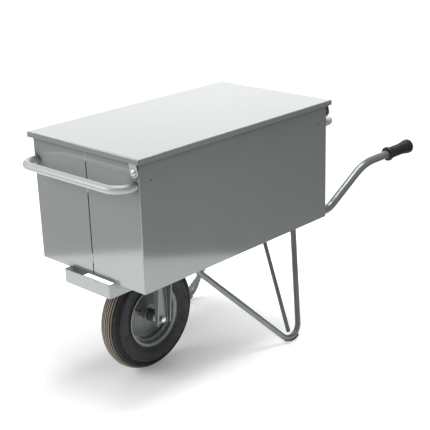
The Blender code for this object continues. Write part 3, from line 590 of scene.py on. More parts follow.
def add_turned(name, profile, centre, finish, body, replaced, steps=72, axis="Y", closed=True,
               smooth_angle=32):
    shape = bmesh.new()
    lathe_into(shape, profile, Matrix.Translation(centre) @ AXIS_TURN[axis], steps, closed)
    return finish_piece(name, shape, finish, body, replaced, smooth_angle)


def soft_profile(points, radius, steps=4):
    """A closed (radius, distance) profile with small fillets."""
    return [(p.x, p.y) for p in rounded([Vector((r, a, 0)) for r, a in points], radius, steps, closed=True)]


def ring_profile(inner, outer, start, end, edge=0.0004):
    return soft_profile([(outer, end), (outer, start), (inner, start), (inner, end)], edge, 2)


def prism_into(shape, outline, low, high, place=Matrix.Identity(4)):
    """An outline in the XY plane raised from low to high, then put in place."""
    rings = [[shape.verts.new(place @ Vector((x, y, z))) for x, y in outline] for z in (low, high)]
    shape.faces.new(rings[0][::-1])
    shape.faces.new(rings[1])
    bridge(shape, *rings)


def strip_outline(path, thickness):
    """The plan of a bent strip: the path, and its copy moved to the left."""
    inner = []
    for i, point in enumerate(path):
        back = (point - path[max(i - 1, 0)]).normalized()
        ahead = (path[min(i + 1, len(path) - 1)] - point).normalized()
        run = (back + ahead).normalized()
        left = Vector((-run.y, run.x, 0))
        lean = abs((ahead if ahead.length else back).cross(left).z)
        inner.append(point + left * thickness / max(lean, 0.5))
    return [(p.x, p.y) for p in path] + [(p.x, p.y) for p in reversed(inner)]


def mirrored(points, side):
    return [Vector((p.x, p.y * side, p.z)) for p in points]


# ---------------------------------------------------------------- hexagon bolts and nuts
def hexagon_into(shape, place, start, end, across_flats, bore=0.0, chamfer_start=False, steps=72):
    """A hexagon with turned-off corners at its end, and at its start too for a nut."""
    half = across_flats / 2
    face_circle = half * 0.95

    def reach(k):
        turn = 2 * pi * k / steps
        return half / cos((turn + pi / 6) % (pi / 3) - pi / 6)

    def ring(radius_of, height_of):
        return [shape.verts.new(place @ Vector((radius_of(k) * cos(2 * pi * k / steps),
                                                radius_of(k) * sin(2 * pi * k / steps), height_of(k))))
                for k in range(steps)]

    def drop(k):
        return (reach(k) - face_circle) * tan(radians(30))

    low_edge = (lambda k: start + drop(k)) if chamfer_start else (lambda k: start)
    rings = []
    if chamfer_start:
        rings.append(ring(lambda k: face_circle, lambda k: start))
    rings.append(ring(reach, low_edge))
    rings.append(ring(reach, lambda k: end - drop(k)))
    rings.append(ring(lambda k: face_circle, lambda k: end))
    if bore:
        rings.append(ring(lambda k: bore + 0.0006, lambda k: end))
        rings.append(ring(lambda k: bore, lambda k: end - 0.0006))
        rings.append(ring(lambda k: bore, lambda k: start))
    bridge_row(shape, rings)
    if bore:
        bridge(shape, rings[-1], rings[0])
    else:
        shape.faces.new(rings[0][::-1])
        shape.faces.new(rings[-1])


def thread_profile(radius, start, end, pitch=0.00125):
    """A solid rod with thread ridges from start to end."""
    turns = max(1, int((end - start) / pitch))
    profile = [(0, start), (radius - 0.0005, start)]
    for i in range(turns):
        at = start + (i + 0.5) * pitch
        profile += [(radius - 0.0006, at - 0.3 * pitch), (radius, at)]
    return profile + [(radius - 0.0008, end), (0, end)]


def add_bolt(name, axis, centre, head_end, tip, body):
    """An M8 bolt from its tip to the end of its head, both measured along the axis."""
    head_start = head_end - BOLT_HEAD_HEIGHT
    place = Matrix.Translation(centre) @ AXIS_TURN[axis]
    shape = bmesh.new()
    hexagon_into(shape, place, head_start, head_start + BOLT_HEAD_HEIGHT, BOLT_ACROSS_FLATS)
    thread = thread_profile(BOLT_RADIUS, tip, head_start + BOLT_HEAD_HEIGHT / 2)
    lathe_into(shape, thread, place, 32, closed=False)
    return finish_piece(name, shape, ZINC, body, [name])


def add_nut(name, axis, centre, start, end, across_flats, radius, body):
    shape = bmesh.new()
    place = Matrix.Translation(centre) @ AXIS_TURN[axis]
    hexagon_into(shape, place, start, end, across_flats, radius + 0.0003, chamfer_start=True)
    return finish_piece(name, shape, ZINC, body, [name])


# ---------------------------------------------------------------- frame
def tube_y(x):
    """Distance of the main tubes' axes from the centre line, which grows faster behind the box."""
    under_box = TUBE_FRONT_X - max(x, HANDLE_LOW_X)
    behind_box = HANDLE_LOW_X - min(x, HANDLE_LOW_X)
    return TUBE_FRONT_Y + under_box * TUBE_SPREAD + behind_box * HANDLE_SPREAD


def tube_point(x, z=TUBE_Z):
    return Vector((x, tube_y(x), z))


def main_tube_path():
    front, low = tube_point(TUBE_FRONT_X), tube_point(HANDLE_LOW_X)
    high = tube_point(HANDLE_HIGH_X, HANDLE_HIGH_Z)
    end = tube_point(HANDLE_END_X, HANDLE_END_Z)
    low_part = rounded([front, low, high], HANDLE_LOW_BEND, 18)
    return low_part[:-1] + rounded([low, high, end], HANDLE_HIGH_BEND)[1:]


def trimmed(path, start, end):
    """The path with its two end points moved inwards."""
    first = path[0] + (path[1] - path[0]).normalized() * start
    last = path[-1] + (path[-2] - path[-1]).normalized() * end
    return [first] + path[1:-1] + [last]


def leg_corners():
    return [tube_point(LEG_FRONT_X), LEG_VERTEX, tube_point(LEG_REAR_X)]


def foot_frame():
    """Matrix at the centre of the foot bend: X forward, Y up, Z across the leg's plane."""
    front, vertex, rear = leg_corners()
    to_front, to_rear = (front - vertex).normalized(), (rear - vertex).normalized()
    centre = vertex + (to_front + to_rear).normalized() * LEG_BEND_RADIUS / sin(to_front.angle(to_rear) / 2)
    across = to_front.cross(to_rear).normalized()
    forward = across.cross(Vector((0, 0, 1))).normalized()
    forward = forward if forward.x > 0 else -forward
    up = across.cross(forward).normalized()
    up = up if up.z > 0 else -up
    return Matrix.Translation(centre) @ Matrix((forward, up, forward.cross(up))).transposed().to_4x4()


def build_frame_side(label, side):
    main_path = mirrored(main_tube_path(), side)
    add_tube(f"{label}_main_tube", main_path, TUBE_RADIUS, TUBE_WALL, SHADED_TUBE_PAINT, FRAME_BODY,
             [f"{label}_frame_tube"], 56)
    in_wall = TUBE_RADIUS - 0.0008
    leg_path = mirrored(rounded(leg_corners(), LEG_BEND_RADIUS, 22), side)
    add_tube(f"{label}_leg_tube", trimmed(leg_path, in_wall, in_wall), LEG_RADIUS, LEG_WALL,
             SHADED_TUBE_PAINT, FRAME_BODY, [f"{label}_leg"], 40)
    axis_run = mirrored([tube_point(LEG_FRONT_X), tube_point(LEG_REAR_X)], side)
    along = axis_run[1] - axis_run[0]
    joints = []
    for end, inner in ((leg_path[0], leg_path[1]), (leg_path[-1], leg_path[-2])):
        toward = (end - inner).normalized()
        joints.append(tube_joint(end - toward * 0.08, toward, LEG_RADIUS + 0.0009, axis_run[0], along,
                                 TUBE_RADIUS + 0.0007))
    for x in CROSS_TUBES.values():
        end = Vector((x, side * tube_y(x), CROSS_Z))
        toward = Vector((0, side, 0))
        joints.append(tube_joint(end - toward * 0.08, toward, CROSS_RADIUS + 0.0004, axis_run[0], along,
                                 TUBE_RADIUS + 0.0007))
    # The cross tubes touch the floor of the box, so their beads stay below it.
    highest = BOX_BOTTOM - WELD_RADIUS - 0.0006
    joints = [[Vector((p.x, p.y, min(p.z, highest))) for p in joint] for joint in joints]
    add_beads(f"{label}_frame_welds", joints, WELD_RADIUS, FRAME_BODY)
    build_foot(label, side)
    build_brace(label, side)
    build_grip(label, side)
    build_fork_arm(label, side)


def build_foot(label, side):
    """A wear strip round the underside of the foot bend, welded at both ends."""
    place = foot_frame()
    if side < 0:
        place = MIRROR @ place
    inner = LEG_BEND_RADIUS + LEG_RADIUS + 0.0003
    outer = inner + SHOE_THICKNESS
    steps = 24
    angles = [SHOE_START + (SHOE_END - SHOE_START) * i / steps for i in range(steps + 1)]
    outline = [(sin(a) * outer, -cos(a) * outer) for a in angles]
    outline += [(sin(a) * inner, -cos(a) * inner) for a in reversed(angles)]
    shape = bmesh.new()
    prism_into(shape, outline, -SHOE_HALF_WIDTH, SHOE_HALF_WIDTH, place)
    shoe = finish_piece(f"{label}_shoe", shape, PAINT, FRAME_BODY, [f"{label}_foot_shoe"])
    add_bevel(shoe, 0.0006)
    beads = []
    for angle in (SHOE_START - 0.01, SHOE_END + 0.01):
        middle = Vector((sin(angle), -cos(angle), 0)) * (inner + 0.0007)
        beads.append([place @ (middle + Vector((0, 0, z)))
                      for z in (SHOE_HALF_WIDTH * (-0.75 + 1.5 * i / 14) for i in range(15))])
    add_beads(f"{label}_shoe_welds", beads, 0.0017, FRAME_BODY, closed=False)


def build_brace(label, side):
    """A thin tube, open at the foot, up to the middle of the rear cross tube."""
    drop = LEG_BEND_RADIUS - LEG_RADIUS - BRACE_FOOT_LIFT
    foot = foot_frame() @ Vector((BRACE_FOOT_FORWARD, -drop, 0))
    top = Vector((CROSS_TUBES["rear_cross_tube"], BRACE_TOP_Y, CROSS_Z))
    path = mirrored([foot, top], side)
    add_tube(f"{label}_brace_tube", trimmed(path, 0, CROSS_RADIUS - 0.0008), BRACE_RADIUS, BRACE_WALL,
             SHADED_TUBE_PAINT, FRAME_BODY, [f"{label}_brace"], 36)
    toward = (path[1] - path[0]).normalized()
    joint = tube_joint(path[1] - toward * 0.05, toward, BRACE_RADIUS + 0.0006, path[1], Vector((0, 1, 0)),
                       CROSS_RADIUS + 0.0005)
    add_beads(f"{label}_brace_weld", [joint], 0.0019, FRAME_BODY)


def build_grip(label, side):
    """A moulded grip: a collar, a long waist with shallow ribs, and a flared, rounded end."""
    high = tube_point(HANDLE_HIGH_X, HANDLE_HIGH_Z)
    along = (tube_point(HANDLE_END_X, HANDLE_END_Z) - high).normalized()
    end = high + along * (GRIP_END_X - HANDLE_HIGH_X) / along.x
    place = Matrix.Translation(end - along * GRIP_LENGTH) @ Vector((0, 0, 1)).rotation_difference(
        along).to_matrix().to_4x4()
    if side < 0:
        place = MIRROR @ place
    collar = [(TUBE_RADIUS + 0.0004, 0.0010), (0.0262, 0), (0.0284, 0.0022), (0.0290, 0.0060),
              (0.0290, 0.0085), (0.0279, 0.0112), (0.0240, 0.0145), (0.0232, 0.0175)]
    ribs = []
    for i in range(GRIP_RIB_COUNT):
        at = 0.030 + i * GRIP_RIB_PITCH
        ribs += [(0.0232, at), (0.0227, at + 0.0008), (0.0227, at + 0.0016), (0.0232, at + 0.0024)]
    flare = [(0.0234, 0.080), (0.0238, 0.088), (0.0246, 0.096), (0.0257, 0.104), (0.0270, 0.112),
             (0.0282, 0.119), (0.0289, 0.1250), (0.0290, 0.1300), (0.0287, 0.1345), (0.0276, 0.1372),
             (0.0258, 0.1386), (0.0225, 0.1390), (0.0215, 0.1384), (0.0060, 0.1384), (0, 0.1386)]
    shape = bmesh.new()
    lathe_into(shape, collar + ribs + flare, place, 64, closed=False)
    bmesh.ops.contextual_create(shape, geom=[e for e in shape.edges if e.is_boundary])
    grip = finish_piece(f"{label}_handle_grip", shape, RUBBER, FRAME_BODY, [f"{label}_grip"], 40)
    bore_rod = bmesh.new()
    bore = [(0, -0.01), (GRIP_BORE, -0.01), (GRIP_BORE, GRIP_BORE_DEPTH), (0, GRIP_BORE_DEPTH)]
    lathe_into(bore_rod, bore, place, 56, closed=False)
    bmesh.ops.recalc_face_normals(bore_rod, faces=bore_rod.faces)
    cut_holes(grip, [bore_rod])


def build_fork_arm(label, side):
    """A pressed channel that opens outwards, deeper at the top, with a hole for the axle."""
    low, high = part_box(f"{label}_fork_arm")
    shape = bmesh.new()
    rings = []
    for share in (0, 0.5, 1):
        edge = FORK_EDGE_BOTTOM + (FORK_EDGE_TOP - FORK_EDGE_BOTTOM) * share
        z = low.z + (high.z - low.z) * share
        path = rounded([Vector((FORK_HALF_WIDTH, edge, 0)), Vector((FORK_HALF_WIDTH, FORK_WEB_Y, 0)),
                        Vector((-FORK_HALF_WIDTH, FORK_WEB_Y, 0)), Vector((-FORK_HALF_WIDTH, edge, 0))],
                       0.0078, 8)
        outline = strip_outline(path[::-1], FORK_SHEET)
        rings.append([shape.verts.new((WHEEL_CENTRE.x + x, side * y, z)) for x, y in outline])
    shape.faces.new(rings[0])
    shape.faces.new(rings[-1])
    bridge_row(shape, rings)
    arm = finish_piece(f"{label}_fork", shape, SHADED_TUBE_PAINT, FRAME_BODY, [f"{label}_fork_arm"])
    cut_holes(arm, [rod_shape("Y", WHEEL_CENTRE, -0.2, 0.2, AXLE_BORE)])
    add_bevel(arm, 0.0007)
    beads = []
    for edge_x in (-FORK_HALF_WIDTH - 0.0004, FORK_HALF_WIDTH + 0.0004):
        x = WHEEL_CENTRE.x + edge_x
        beads.append(line_points(Vector((x, side * 0.1092, 0.3815)), Vector((x, side * 0.1096, 0.4215))))
    add_beads(f"{label}_fork_welds", beads, 0.0026, FRAME_BODY, closed=False)
    run = [Vector((x, side * (tube_y(x) - 0.0166), TUBE_Z + 0.0085)) for x in
           (0.470 + 0.0011 * i for i in range(110))]
    add_beads(f"{label}_bumper_weld", [run], 0.0022, FRAME_BODY, closed=False)


def build_cross_tubes():
    for name, x in CROSS_TUBES.items():
        reach = tube_y(x) - TUBE_RADIUS + 0.0012
        path = [Vector((x, -reach, CROSS_Z)), Vector((x, reach, CROSS_Z))]
        tube = add_tube(f"{name}_round", path, CROSS_RADIUS, TUBE_WALL, SHADED_TUBE_PAINT, FRAME_BODY, [name], 48)
        cut_holes(tube, [rod_shape("Z", Vector((x, side * 0.095, CROSS_Z)), -0.03, 0.03, BOLT_BORE)
                         for side in (1, -1)])


def build_bumper():
    low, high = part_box("bumper_strip")
    half = high.y
    corners = [Vector((low.x, -half, 0)), Vector((high.x, -half, 0)), Vector((high.x, half, 0)),
               Vector((low.x, half, 0))]
    path = rounded(corners, BUMPER_BEND_RADIUS, 12)
    shape = bmesh.new()
    prism_into(shape, strip_outline(path, BUMPER_SHEET), low.z, high.z)
    bumper = finish_piece("bumper", shape, PAINT, FRAME_BODY, ["bumper_strip"])
    add_bevel(bumper, 0.0012, 3)
    even_flats(bumper)
    rows = []
    for side in (1, -1):
        y, z = side * (half - 0.0055), high.z - 0.0018
        rows.append(line_points(Vector((BOX_FRONT - 0.030, y, z)), Vector((BOX_FRONT - 0.001, y, z))))
    add_beads("bumper_box_welds", rows, 0.0026, FRAME_BODY, closed=False)


def even_flats(piece):
    """Keeps large flat faces flat-shaded where they run into small bends."""
    shading = piece.modifiers.new("flat_shading", "WEIGHTED_NORMAL")
    shading.mode = "FACE_AREA"
    shading.weight = 100
    shading.keep_sharp = True


# ---------------------------------------------------------------- box
def build_shell(label, side):
    """One folded sheet: half of each end panel and a whole side panel."""
    seam = SEAM_Y + side * SEAM_GAP / 2
    corners = [Vector((BOX_FRONT, seam, 0)), Vector((BOX_FRONT, side * BOX_HALF_WIDTH, 0)),
               Vector((BOX_REAR, side * BOX_HALF_WIDTH, 0)), Vector((BOX_REAR, seam, 0))]
    if side < 0:
        corners.reverse()
    path = rounded(corners, FOLD_RADIUS, 10)
    shape = bmesh.new()
    prism_into(shape, strip_outline(path, SHEET), BOX_BOTTOM, BOX_TOP)
    for z in (LOOP_Z - 0.022, LOOP_Z - 0.0165, LOOP_Z + 0.0165, LOOP_Z + 0.022):
        # Edges just above and below the holes keep the shading of the folds straight.
        bmesh.ops.bisect_plane(shape, geom=shape.verts[:] + shape.edges[:] + shape.faces[:],
                               plane_co=(0, 0, z), plane_no=(0, 0, 1))
    shell = finish_piece(f"{label}_shell", shape, PAINT, FRAME_BODY, [f"box_{label}_shell"])
    middle = Vector((BOX_MIDDLE, 0, 0))
    holes = [rod_shape("X", middle + Vector((0, side * LOOP_HALF_WIDTH, LOOP_Z)), -1, 1,
                      LOOP_HOLE_RADIUS, 64)]
    if side > 0:
        holes.append(rod_shape("X", middle + Vector((0, HINGE_Y, HINGE_Z)), -1, 1, BOLT_BORE))
        for x in (-SIDE_HOLE_X, SIDE_HOLE_X):
            centre = middle + Vector((x, BOX_HALF_WIDTH, SIDE_HOLE_Z))
            holes.append(rod_shape("Y", centre, -0.01, 0.01, SIDE_HOLE_RADIUS))
    cut_holes(shell, holes)
    add_bevel(shell, 0.00045)
    even_flats(shell)


def build_seam_welds():
    """Rippled weld metal in the seams, at three heights on each end panel."""
    for end, face, outward in (("front", BOX_FRONT, 1), ("rear", BOX_REAR, -1)):
        for place, (low, high) in SEAM_WELDS.items():
            centre = Vector((face - outward * 0.0008, SEAM_Y, 0))
            points = line_points(centre + Vector((0, 0, low + 0.001)),
                                 centre + Vector((0, 0, high - 0.001)), 0.0009)
            shape = bmesh.new()
            bead_into(shape, points, 0.00275, closed=False, seed=low * 40 + outward)
            flatten = (Matrix.Translation(centre) @ Matrix.Diagonal((0.74, 1, 1, 1))
                       @ Matrix.Translation(-centre))
            bmesh.ops.transform(shape, verts=shape.verts, matrix=flatten)
            finish_piece(f"{end}_seam_bead_{place}", shape, LIT_WELD_PAINT, FRAME_BODY,
                         [f"{end}_seam_weld_{place}"], 60)


def build_loop(label, outward, panel_x):
    """A carrying loop through the end panel, welded to it on the inside."""
    reach_x = panel_x + outward * LOOP_REACH
    inside_x = panel_x - outward * LOOP_INSIDE
    corners = [Vector((inside_x, -LOOP_HALF_WIDTH, LOOP_Z)), Vector((reach_x, -LOOP_HALF_WIDTH, LOOP_Z)),
               Vector((reach_x, LOOP_HALF_WIDTH, LOOP_Z)), Vector((inside_x, LOOP_HALF_WIDTH, LOOP_Z))]
    path = rounded(corners, LOOP_BEND_RADIUS, 22)
    add_tube(f"{label}_loop", path, LOOP_RADIUS, LOOP_WALL, LIT_LOOP_PAINT, FRAME_BODY,
             [f"{label}_carrying_loop"], 56)
    tacks = []
    for side in (1, -1):
        centre = Vector((panel_x - outward * (SHEET + 0.0012), side * LOOP_HALF_WIDTH, LOOP_Z))
        ring = circle_points(centre, Vector((0, 1, 0)), Vector((0, 0, 1)), LOOP_RADIUS + 0.0009, 90)
        tacks += [ring[start:start + 12] for start in (4, 34, 64)]
    add_beads(f"{label}_loop_tacks", tacks, 0.0017, FRAME_BODY, closed=False)


def build_box_bolts():
    for name in [node for node in NODES if node.endswith("_box_bolt")]:
        low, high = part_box(name)
        centre = Vector(((low.x + high.x) / 2, (low.y + high.y) / 2, 0))
        add_bolt(name, "Z", centre, high.z, low.z, FRAME_BODY)
        nut = name.replace("bolt", "nut")
        low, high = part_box(nut)
        add_nut(nut, "Z", centre, low.z, high.z, BOLT_ACROSS_FLATS, BOLT_RADIUS, FRAME_BODY)


# ---------------------------------------------------------------- lid
def build_lid():
    """A shallow pan with a rounded fold all round and a slit at each corner of the skirt."""
    middle_x, half_x = (LID_LOW.x + LID_HIGH.x) / 2, (LID_HIGH.x - LID_LOW.x) / 2
    half_y = (LID_HIGH.y - LID_LOW.y) / 2
    fold, steps = 0.0032, 6
    levels = [(fold, LID_HIGH.z)]
    levels += [(fold * (1 - sin(a)), LID_HIGH.z - fold * (1 - cos(a)))
               for a in (pi / 2 * i / steps for i in range(1, steps + 1))]
    levels.append((0, LID_LOW.z))
    signs = ((-1, -1), (1, -1), (1, 1), (-1, 1))
    shape = bmesh.new()

    def ring(inset, z):
        return [shape.verts.new((middle_x + sx * (half_x - inset), sy * (half_y - inset), z))
                for sx, sy in signs]

    rings = [ring(inset, z) for inset, z in levels]
    shape.faces.new(rings[0])
    bridge_row(shape, rings)
    under = LID_HIGH.z - SHEET
    inner = [ring(SHEET + max(inset - SHEET * 0.6, 0) * 0.6, z)
             for inset, z in ((fold, under), (0, under - 0.0012), (0, LID_LOW.z))]
    shape.faces.new(inner[0])
    bridge_row(shape, inner)
    bridge(shape, rings[-1], inner[-1])
    lid = finish_piece("lid", shape, PAINT, LID_BODY, ["lid_pan"])
    slits = []
    for sx, sy in signs:
        corner = Vector((middle_x + sx * half_x, sy * half_y, 0))
        reach = Vector((0.0021, 0.0021, 0))
        slits.append(box_shape(corner - reach + Vector((0, 0, LID_HIGH.z - 0.0148)),
                               corner + reach + Vector((0, 0, LID_HIGH.z - 0.0024))))
    cut_holes(lid, slits)
    add_bevel(lid, 0.0005)
    even_flats(lid)
    beads = []
    for sx, sy in signs:
        corner = Vector((middle_x + sx * (half_x - 0.0016), sy * (half_y - 0.0016), 0))
        beads.append(line_points(corner + Vector((0, 0, LID_LOW.z + 0.0006)),
                                 corner + Vector((0, 0, LID_LOW.z + 0.0034)), 0.0006))
    add_beads("lid_corner_welds", beads, 0.0014, LID_BODY, closed=False)


def lug_outline():
    """Seen along +X: a plate that leans towards the hinge side, with a round lower end."""
    top = LID_HIGH.z - SHEET - 0.001
    points = [(HINGE_Y + 0.010, top), (HINGE_Y - 0.023, top)]
    steps = 28
    for i in range(steps + 1):
        angle = pi + (pi + radians(32)) * i / steps
        points.append((HINGE_Y + LUG_END_RADIUS * cos(angle), HINGE_Z + LUG_END_RADIUS * sin(angle)))
    return points


def build_hinge(label, outward):
    """Lug on the lid; bolt, washer, spacer and nut on the box."""
    low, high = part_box(f"{label}_hinge_lug")
    turn = Matrix(((0, 0, 1, 0), (1, 0, 0, 0), (0, 1, 0, 0), (0, 0, 0, 1)))
    shape = bmesh.new()
    prism_into(shape, lug_outline(), low.x, high.x, turn)
    # The lug takes the lighter loop enamel, painted light that brings out its outline.
    lug = finish_piece(f"{label}_lug", shape, LIT_LOOP_PAINT, LID_BODY, [f"{label}_hinge_lug"])
    centre = Vector((0, HINGE_Y, HINGE_Z))
    cut_holes(lug, [rod_shape("X", centre, low.x - 0.01, high.x + 0.01, BOLT_BORE)])
    add_bevel(lug, 0.0009, 3)
    even_flats(lug)
    inside_x = low.x if outward > 0 else high.x
    top = LID_HIGH.z - SHEET - 0.0021
    bead = line_points(Vector((inside_x, HINGE_Y - 0.021, top)), Vector((inside_x, HINGE_Y + 0.008, top)))
    add_beads(f"{label}_lug_weld", [bead], 0.0016, LID_BODY, closed=False)

    axis = "X" if outward > 0 else "-X"
    for piece, inner, outer in (("spacer", BOLT_BORE, 0.0065), ("washer", BOLT_BORE, 0.0100)):
        low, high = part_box(f"{label}_hinge_{piece}")
        profile = ring_profile(inner, outer, low.x, high.x, 0.0003)
        add_turned(f"{label}_{piece}", profile, centre, ZINC, FRAME_BODY, [f"{label}_hinge_{piece}"], 48,
                   axis="X")
    low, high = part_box(f"{label}_hinge_nut")
    ends = sorted((outward * low.x, outward * high.x))
    add_nut(f"{label}_hinge_nut", axis, centre, *ends, BOLT_ACROSS_FLATS, BOLT_RADIUS, FRAME_BODY)
    low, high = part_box(f"{label}_hinge_bolt")
    near, far = sorted((outward * low.x, outward * high.x))
    add_bolt(f"{label}_hinge_bolt", axis, centre, far, near, FRAME_BODY)


# ---------------------------------------------------------------- wheel
def smooth_line(points, steps=8):
    """A smooth curve through (radius, distance) points."""
    line = []
    count = len(points)
    for i in range(count - 1):
        p0, p1 = points[max(i - 1, 0)], points[i]
        p2, p3 = points[i + 1], points[min(i + 2, count - 1)]
        for s in range(steps):
            t = s / steps
            line.append(tuple(
                0.5 * (2 * b + (c - a) * t + (2 * a - 5 * b + 4 * c - d) * t * t
                       + (3 * b - a - 3 * c + d) * t ** 3)
                for a, b, c, d in zip(p0, p1, p2, p3)))
    return line + [points[-1]]


def tyre_profile():
    """A closed section: ribs and grooves on the tread, a stepped sidewall, and the beads in the rim."""
    side_points = [(0.1027, 0.0288), (0.1060, 0.0308), (0.1128, 0.0324), (0.1220, 0.0340), (0.1370, 0.0395),
                   (0.1550, TYRE_HALF_WIDTH), (0.1720, 0.0395), (0.1860, 0.0310), (0.1960, 0.0180),
                   (WHEEL_RADIUS, 0.0)]
    curve = smooth_line(side_points, 16)
    sidewall = [(r, y) for r, y in curve if y > 0.0345 or r < 0.15]
    stepped = []
    for r, y in sidewall:
        change = SIDEWALL_RING_HEIGHT if any(low < r < high for low, high in SIDEWALL_RINGS) else 0.0
        if any(abs(r - middle) < SHOULDER_GROOVE_HALF_WIDTH for middle in SHOULDER_GROOVES):
            change = -SHOULDER_GROOVE_DEPTH
        stepped.append((r, y + change))

    def surface(y):
        for (r0, y0), (r1, y1) in zip(curve, curve[1:]):
            if r0 > 0.15 and y1 <= y <= y0:
                share = (y0 - y) / max(y0 - y1, 1e-9)
                return r0 + (r1 - r0) * share
        return WHEEL_RADIUS

    half = list(stepped)
    for centre, half_width, depth in TREAD_GROOVES:
        for offset, down in ((half_width, 0), (half_width * 0.78, 0.25), (half_width * 0.5, 1),
                             (-half_width * 0.5, 1), (-half_width * 0.78, 0.25), (-half_width, 0)):
            y = centre + offset
            half.append((surface(y) - depth * down, y))
    outside = half + [(r, -y) for r, y in reversed(half)]
    inside = smooth_line([(0.1027, 0.0225), (0.1300, 0.0300), (0.1550, 0.0350), (0.1760, 0.0290),
                          (0.1868, 0.0)], 5)
    back = [(r, -y) for r, y in inside] + [(r, y) for r, y in inside[::-1][1:]]
    return outside + back


def build_tyre():
    place = Matrix.Translation(WHEEL_CENTRE) @ AXIS_TURN["Y"]
    shape = bmesh.new()
    lathe_into(shape, tyre_profile(), place, 144)
    finish_piece("tyre_casing", shape, TYRE, WHEEL_BODY, ["tyre"], 40)

    # Small moulding nubs stand on the sidewalls.
    nubs = bmesh.new()
    outline = [(0, -0.0010), (0.0016, -0.0010), (0.0013, 0.0008), (0.0008, 0.0016), (0, 0.0018)]
    for i in range(NUB_COUNT):
        turn = (i * GOLDEN_ANGLE) % (2 * pi)
        side = 1 if i % 2 else -1
        radius, y = NUB_CIRCLES[i // 2 % len(NUB_CIRCLES)]
        base = Vector((radius * cos(turn), radius * sin(turn), side * y))
        spot = place @ Matrix.Translation(base) @ Matrix.Rotation(0.3 * sin(i * 2.3), 4, "X")
        spot = spot @ Matrix.Diagonal((1, 1, side, 1))
        lathe_into(nubs, outline, spot, 10, closed=False)
    finish_piece("tyre_moulding_nubs", nubs, TYRE, WHEEL_BODY, smooth_angle=50)


def build_rim():
    half = [(0.1118, 0.0372), (0.1112, 0.0340), (0.1040, 0.0322), (0.1018, 0.0285), (0.1008, 0.0200),
            (0.0900, 0.0140)]
    line = half + [(r, -y) for r, y in reversed(half)]
    path = rounded([Vector((r, y, 0)) for r, y in line], 0.0011, 4)
    profile = strip_outline(path[::-1], RIM_SHEET)
    shape = bmesh.new()
    place = Matrix.Translation(WHEEL_CENTRE) @ AXIS_TURN["Y"]
    lathe_into(shape, profile, place, 128)
    rim = finish_piece("rim", shape, SHADED_RIM_PAINT, WHEEL_BODY, ["wheel_rim"])
    around = Matrix.Rotation(VALVE_AROUND, 4, "Y")
    lean = Matrix.Rotation(radians(-90), 4, "Y") @ Matrix.Rotation(VALVE_LEAN, 4, "X")
    valve_place = Matrix.Translation(WHEEL_CENTRE) @ around @ Matrix.Translation(VALVE_BASE) @ lean
    hole = rod_shape("Z", Vector((0, 0, 0)), -0.010, 0.020, 0.0044, 32)
    bmesh.ops.transform(hole, verts=hole.verts, matrix=valve_place)
    cut_holes(rim, [hole])
    return valve_place


def build_disc():
    """A shallow dished disc, welded to the hub and to the rim."""
    inner = HUB_RADIUS + 0.0003
    line = [(inner, 0.0125), (0.036, 0.0125), (0.074, 0.0040), (0.0866, 0.0040)]
    path = rounded([Vector((r, y, 0)) for r, y in line], 0.0035, 6)
    profile = strip_outline(path[::-1], DISC_SHEET)
    shape = bmesh.new()
    lathe_into(shape, profile, Matrix.Translation(WHEEL_CENTRE) @ AXIS_TURN["Y"], 96)
    finish_piece("disc", shape, SHADED_WHEEL_PAINT, WHEEL_BODY, ["wheel_disc"])
    rings = []
    for radius, y in ((HUB_RADIUS + 0.0012, 0.0131), (HUB_RADIUS + 0.0012, 0.0089), (0.0864, 0.0052)):
        rings.append(circle_points(WHEEL_CENTRE + Vector((0, y, 0)), Vector((1, 0, 0)), Vector((0, 0, 1)),
                                   radius, round(radius * 4200)))
    add_beads("disc_welds", rings, 0.0016, WHEEL_BODY)


def build_hub():
    profile = soft_profile([(HUB_RADIUS, HUB_HALF_LENGTH), (HUB_RADIUS, -HUB_HALF_LENGTH),
                            (HUB_BORE, -HUB_HALF_LENGTH), (HUB_BORE, HUB_HALF_LENGTH)], 0.0008, 3)
    add_turned("hub", profile, WHEEL_CENTRE, SHADED_WHEEL_PAINT, WHEEL_BODY, ["wheel_hub"], 80)
    for label, side in (("left", 1), ("right", -1)):
        low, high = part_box(f"{label}_wheel_bearing")
        outer_race = ring_profile(0.0138, HUB_BORE - 0.0002, low.y, high.y)
        inner_race = ring_profile(AXLE_BORE, 0.0087, low.y, high.y)
        seal = ring_profile(0.0088, 0.0137, low.y + 0.0007, high.y - 0.0007, 0.0003)
        shape = bmesh.new()
        place = Matrix.Translation(Vector((WHEEL_CENTRE.x, 0, WHEEL_CENTRE.z))) @ AXIS_TURN["Y"]
        for profile in (outer_race, inner_race, seal):
            lathe_into(shape, profile, place, 64)
        finish_piece(f"{label}_bearing", shape, BEARING, WHEEL_BODY, [f"{label}_wheel_bearing"])
        low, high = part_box(f"{label}_axle_spacer")
        spacer = soft_profile([(0.0100, high.y), (0.0100, low.y), (AXLE_BORE, low.y),
                               (AXLE_BORE, high.y)], 0.0005, 2)
        shape = bmesh.new()
        lathe_into(shape, spacer, place, 56)
        finish_piece(f"{label}_spacer", shape, ZINC, FRAME_BODY, [f"{label}_axle_spacer"])
        low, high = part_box(f"{label}_axle_nut")
        ends = sorted((side * low.y, side * high.y))
        add_nut(f"{label}_axle_nut", "Y" if side > 0 else "-Y", WHEEL_CENTRE, *ends,
                AXLE_NUT_ACROSS_FLATS, AXLE_RADIUS, FRAME_BODY)


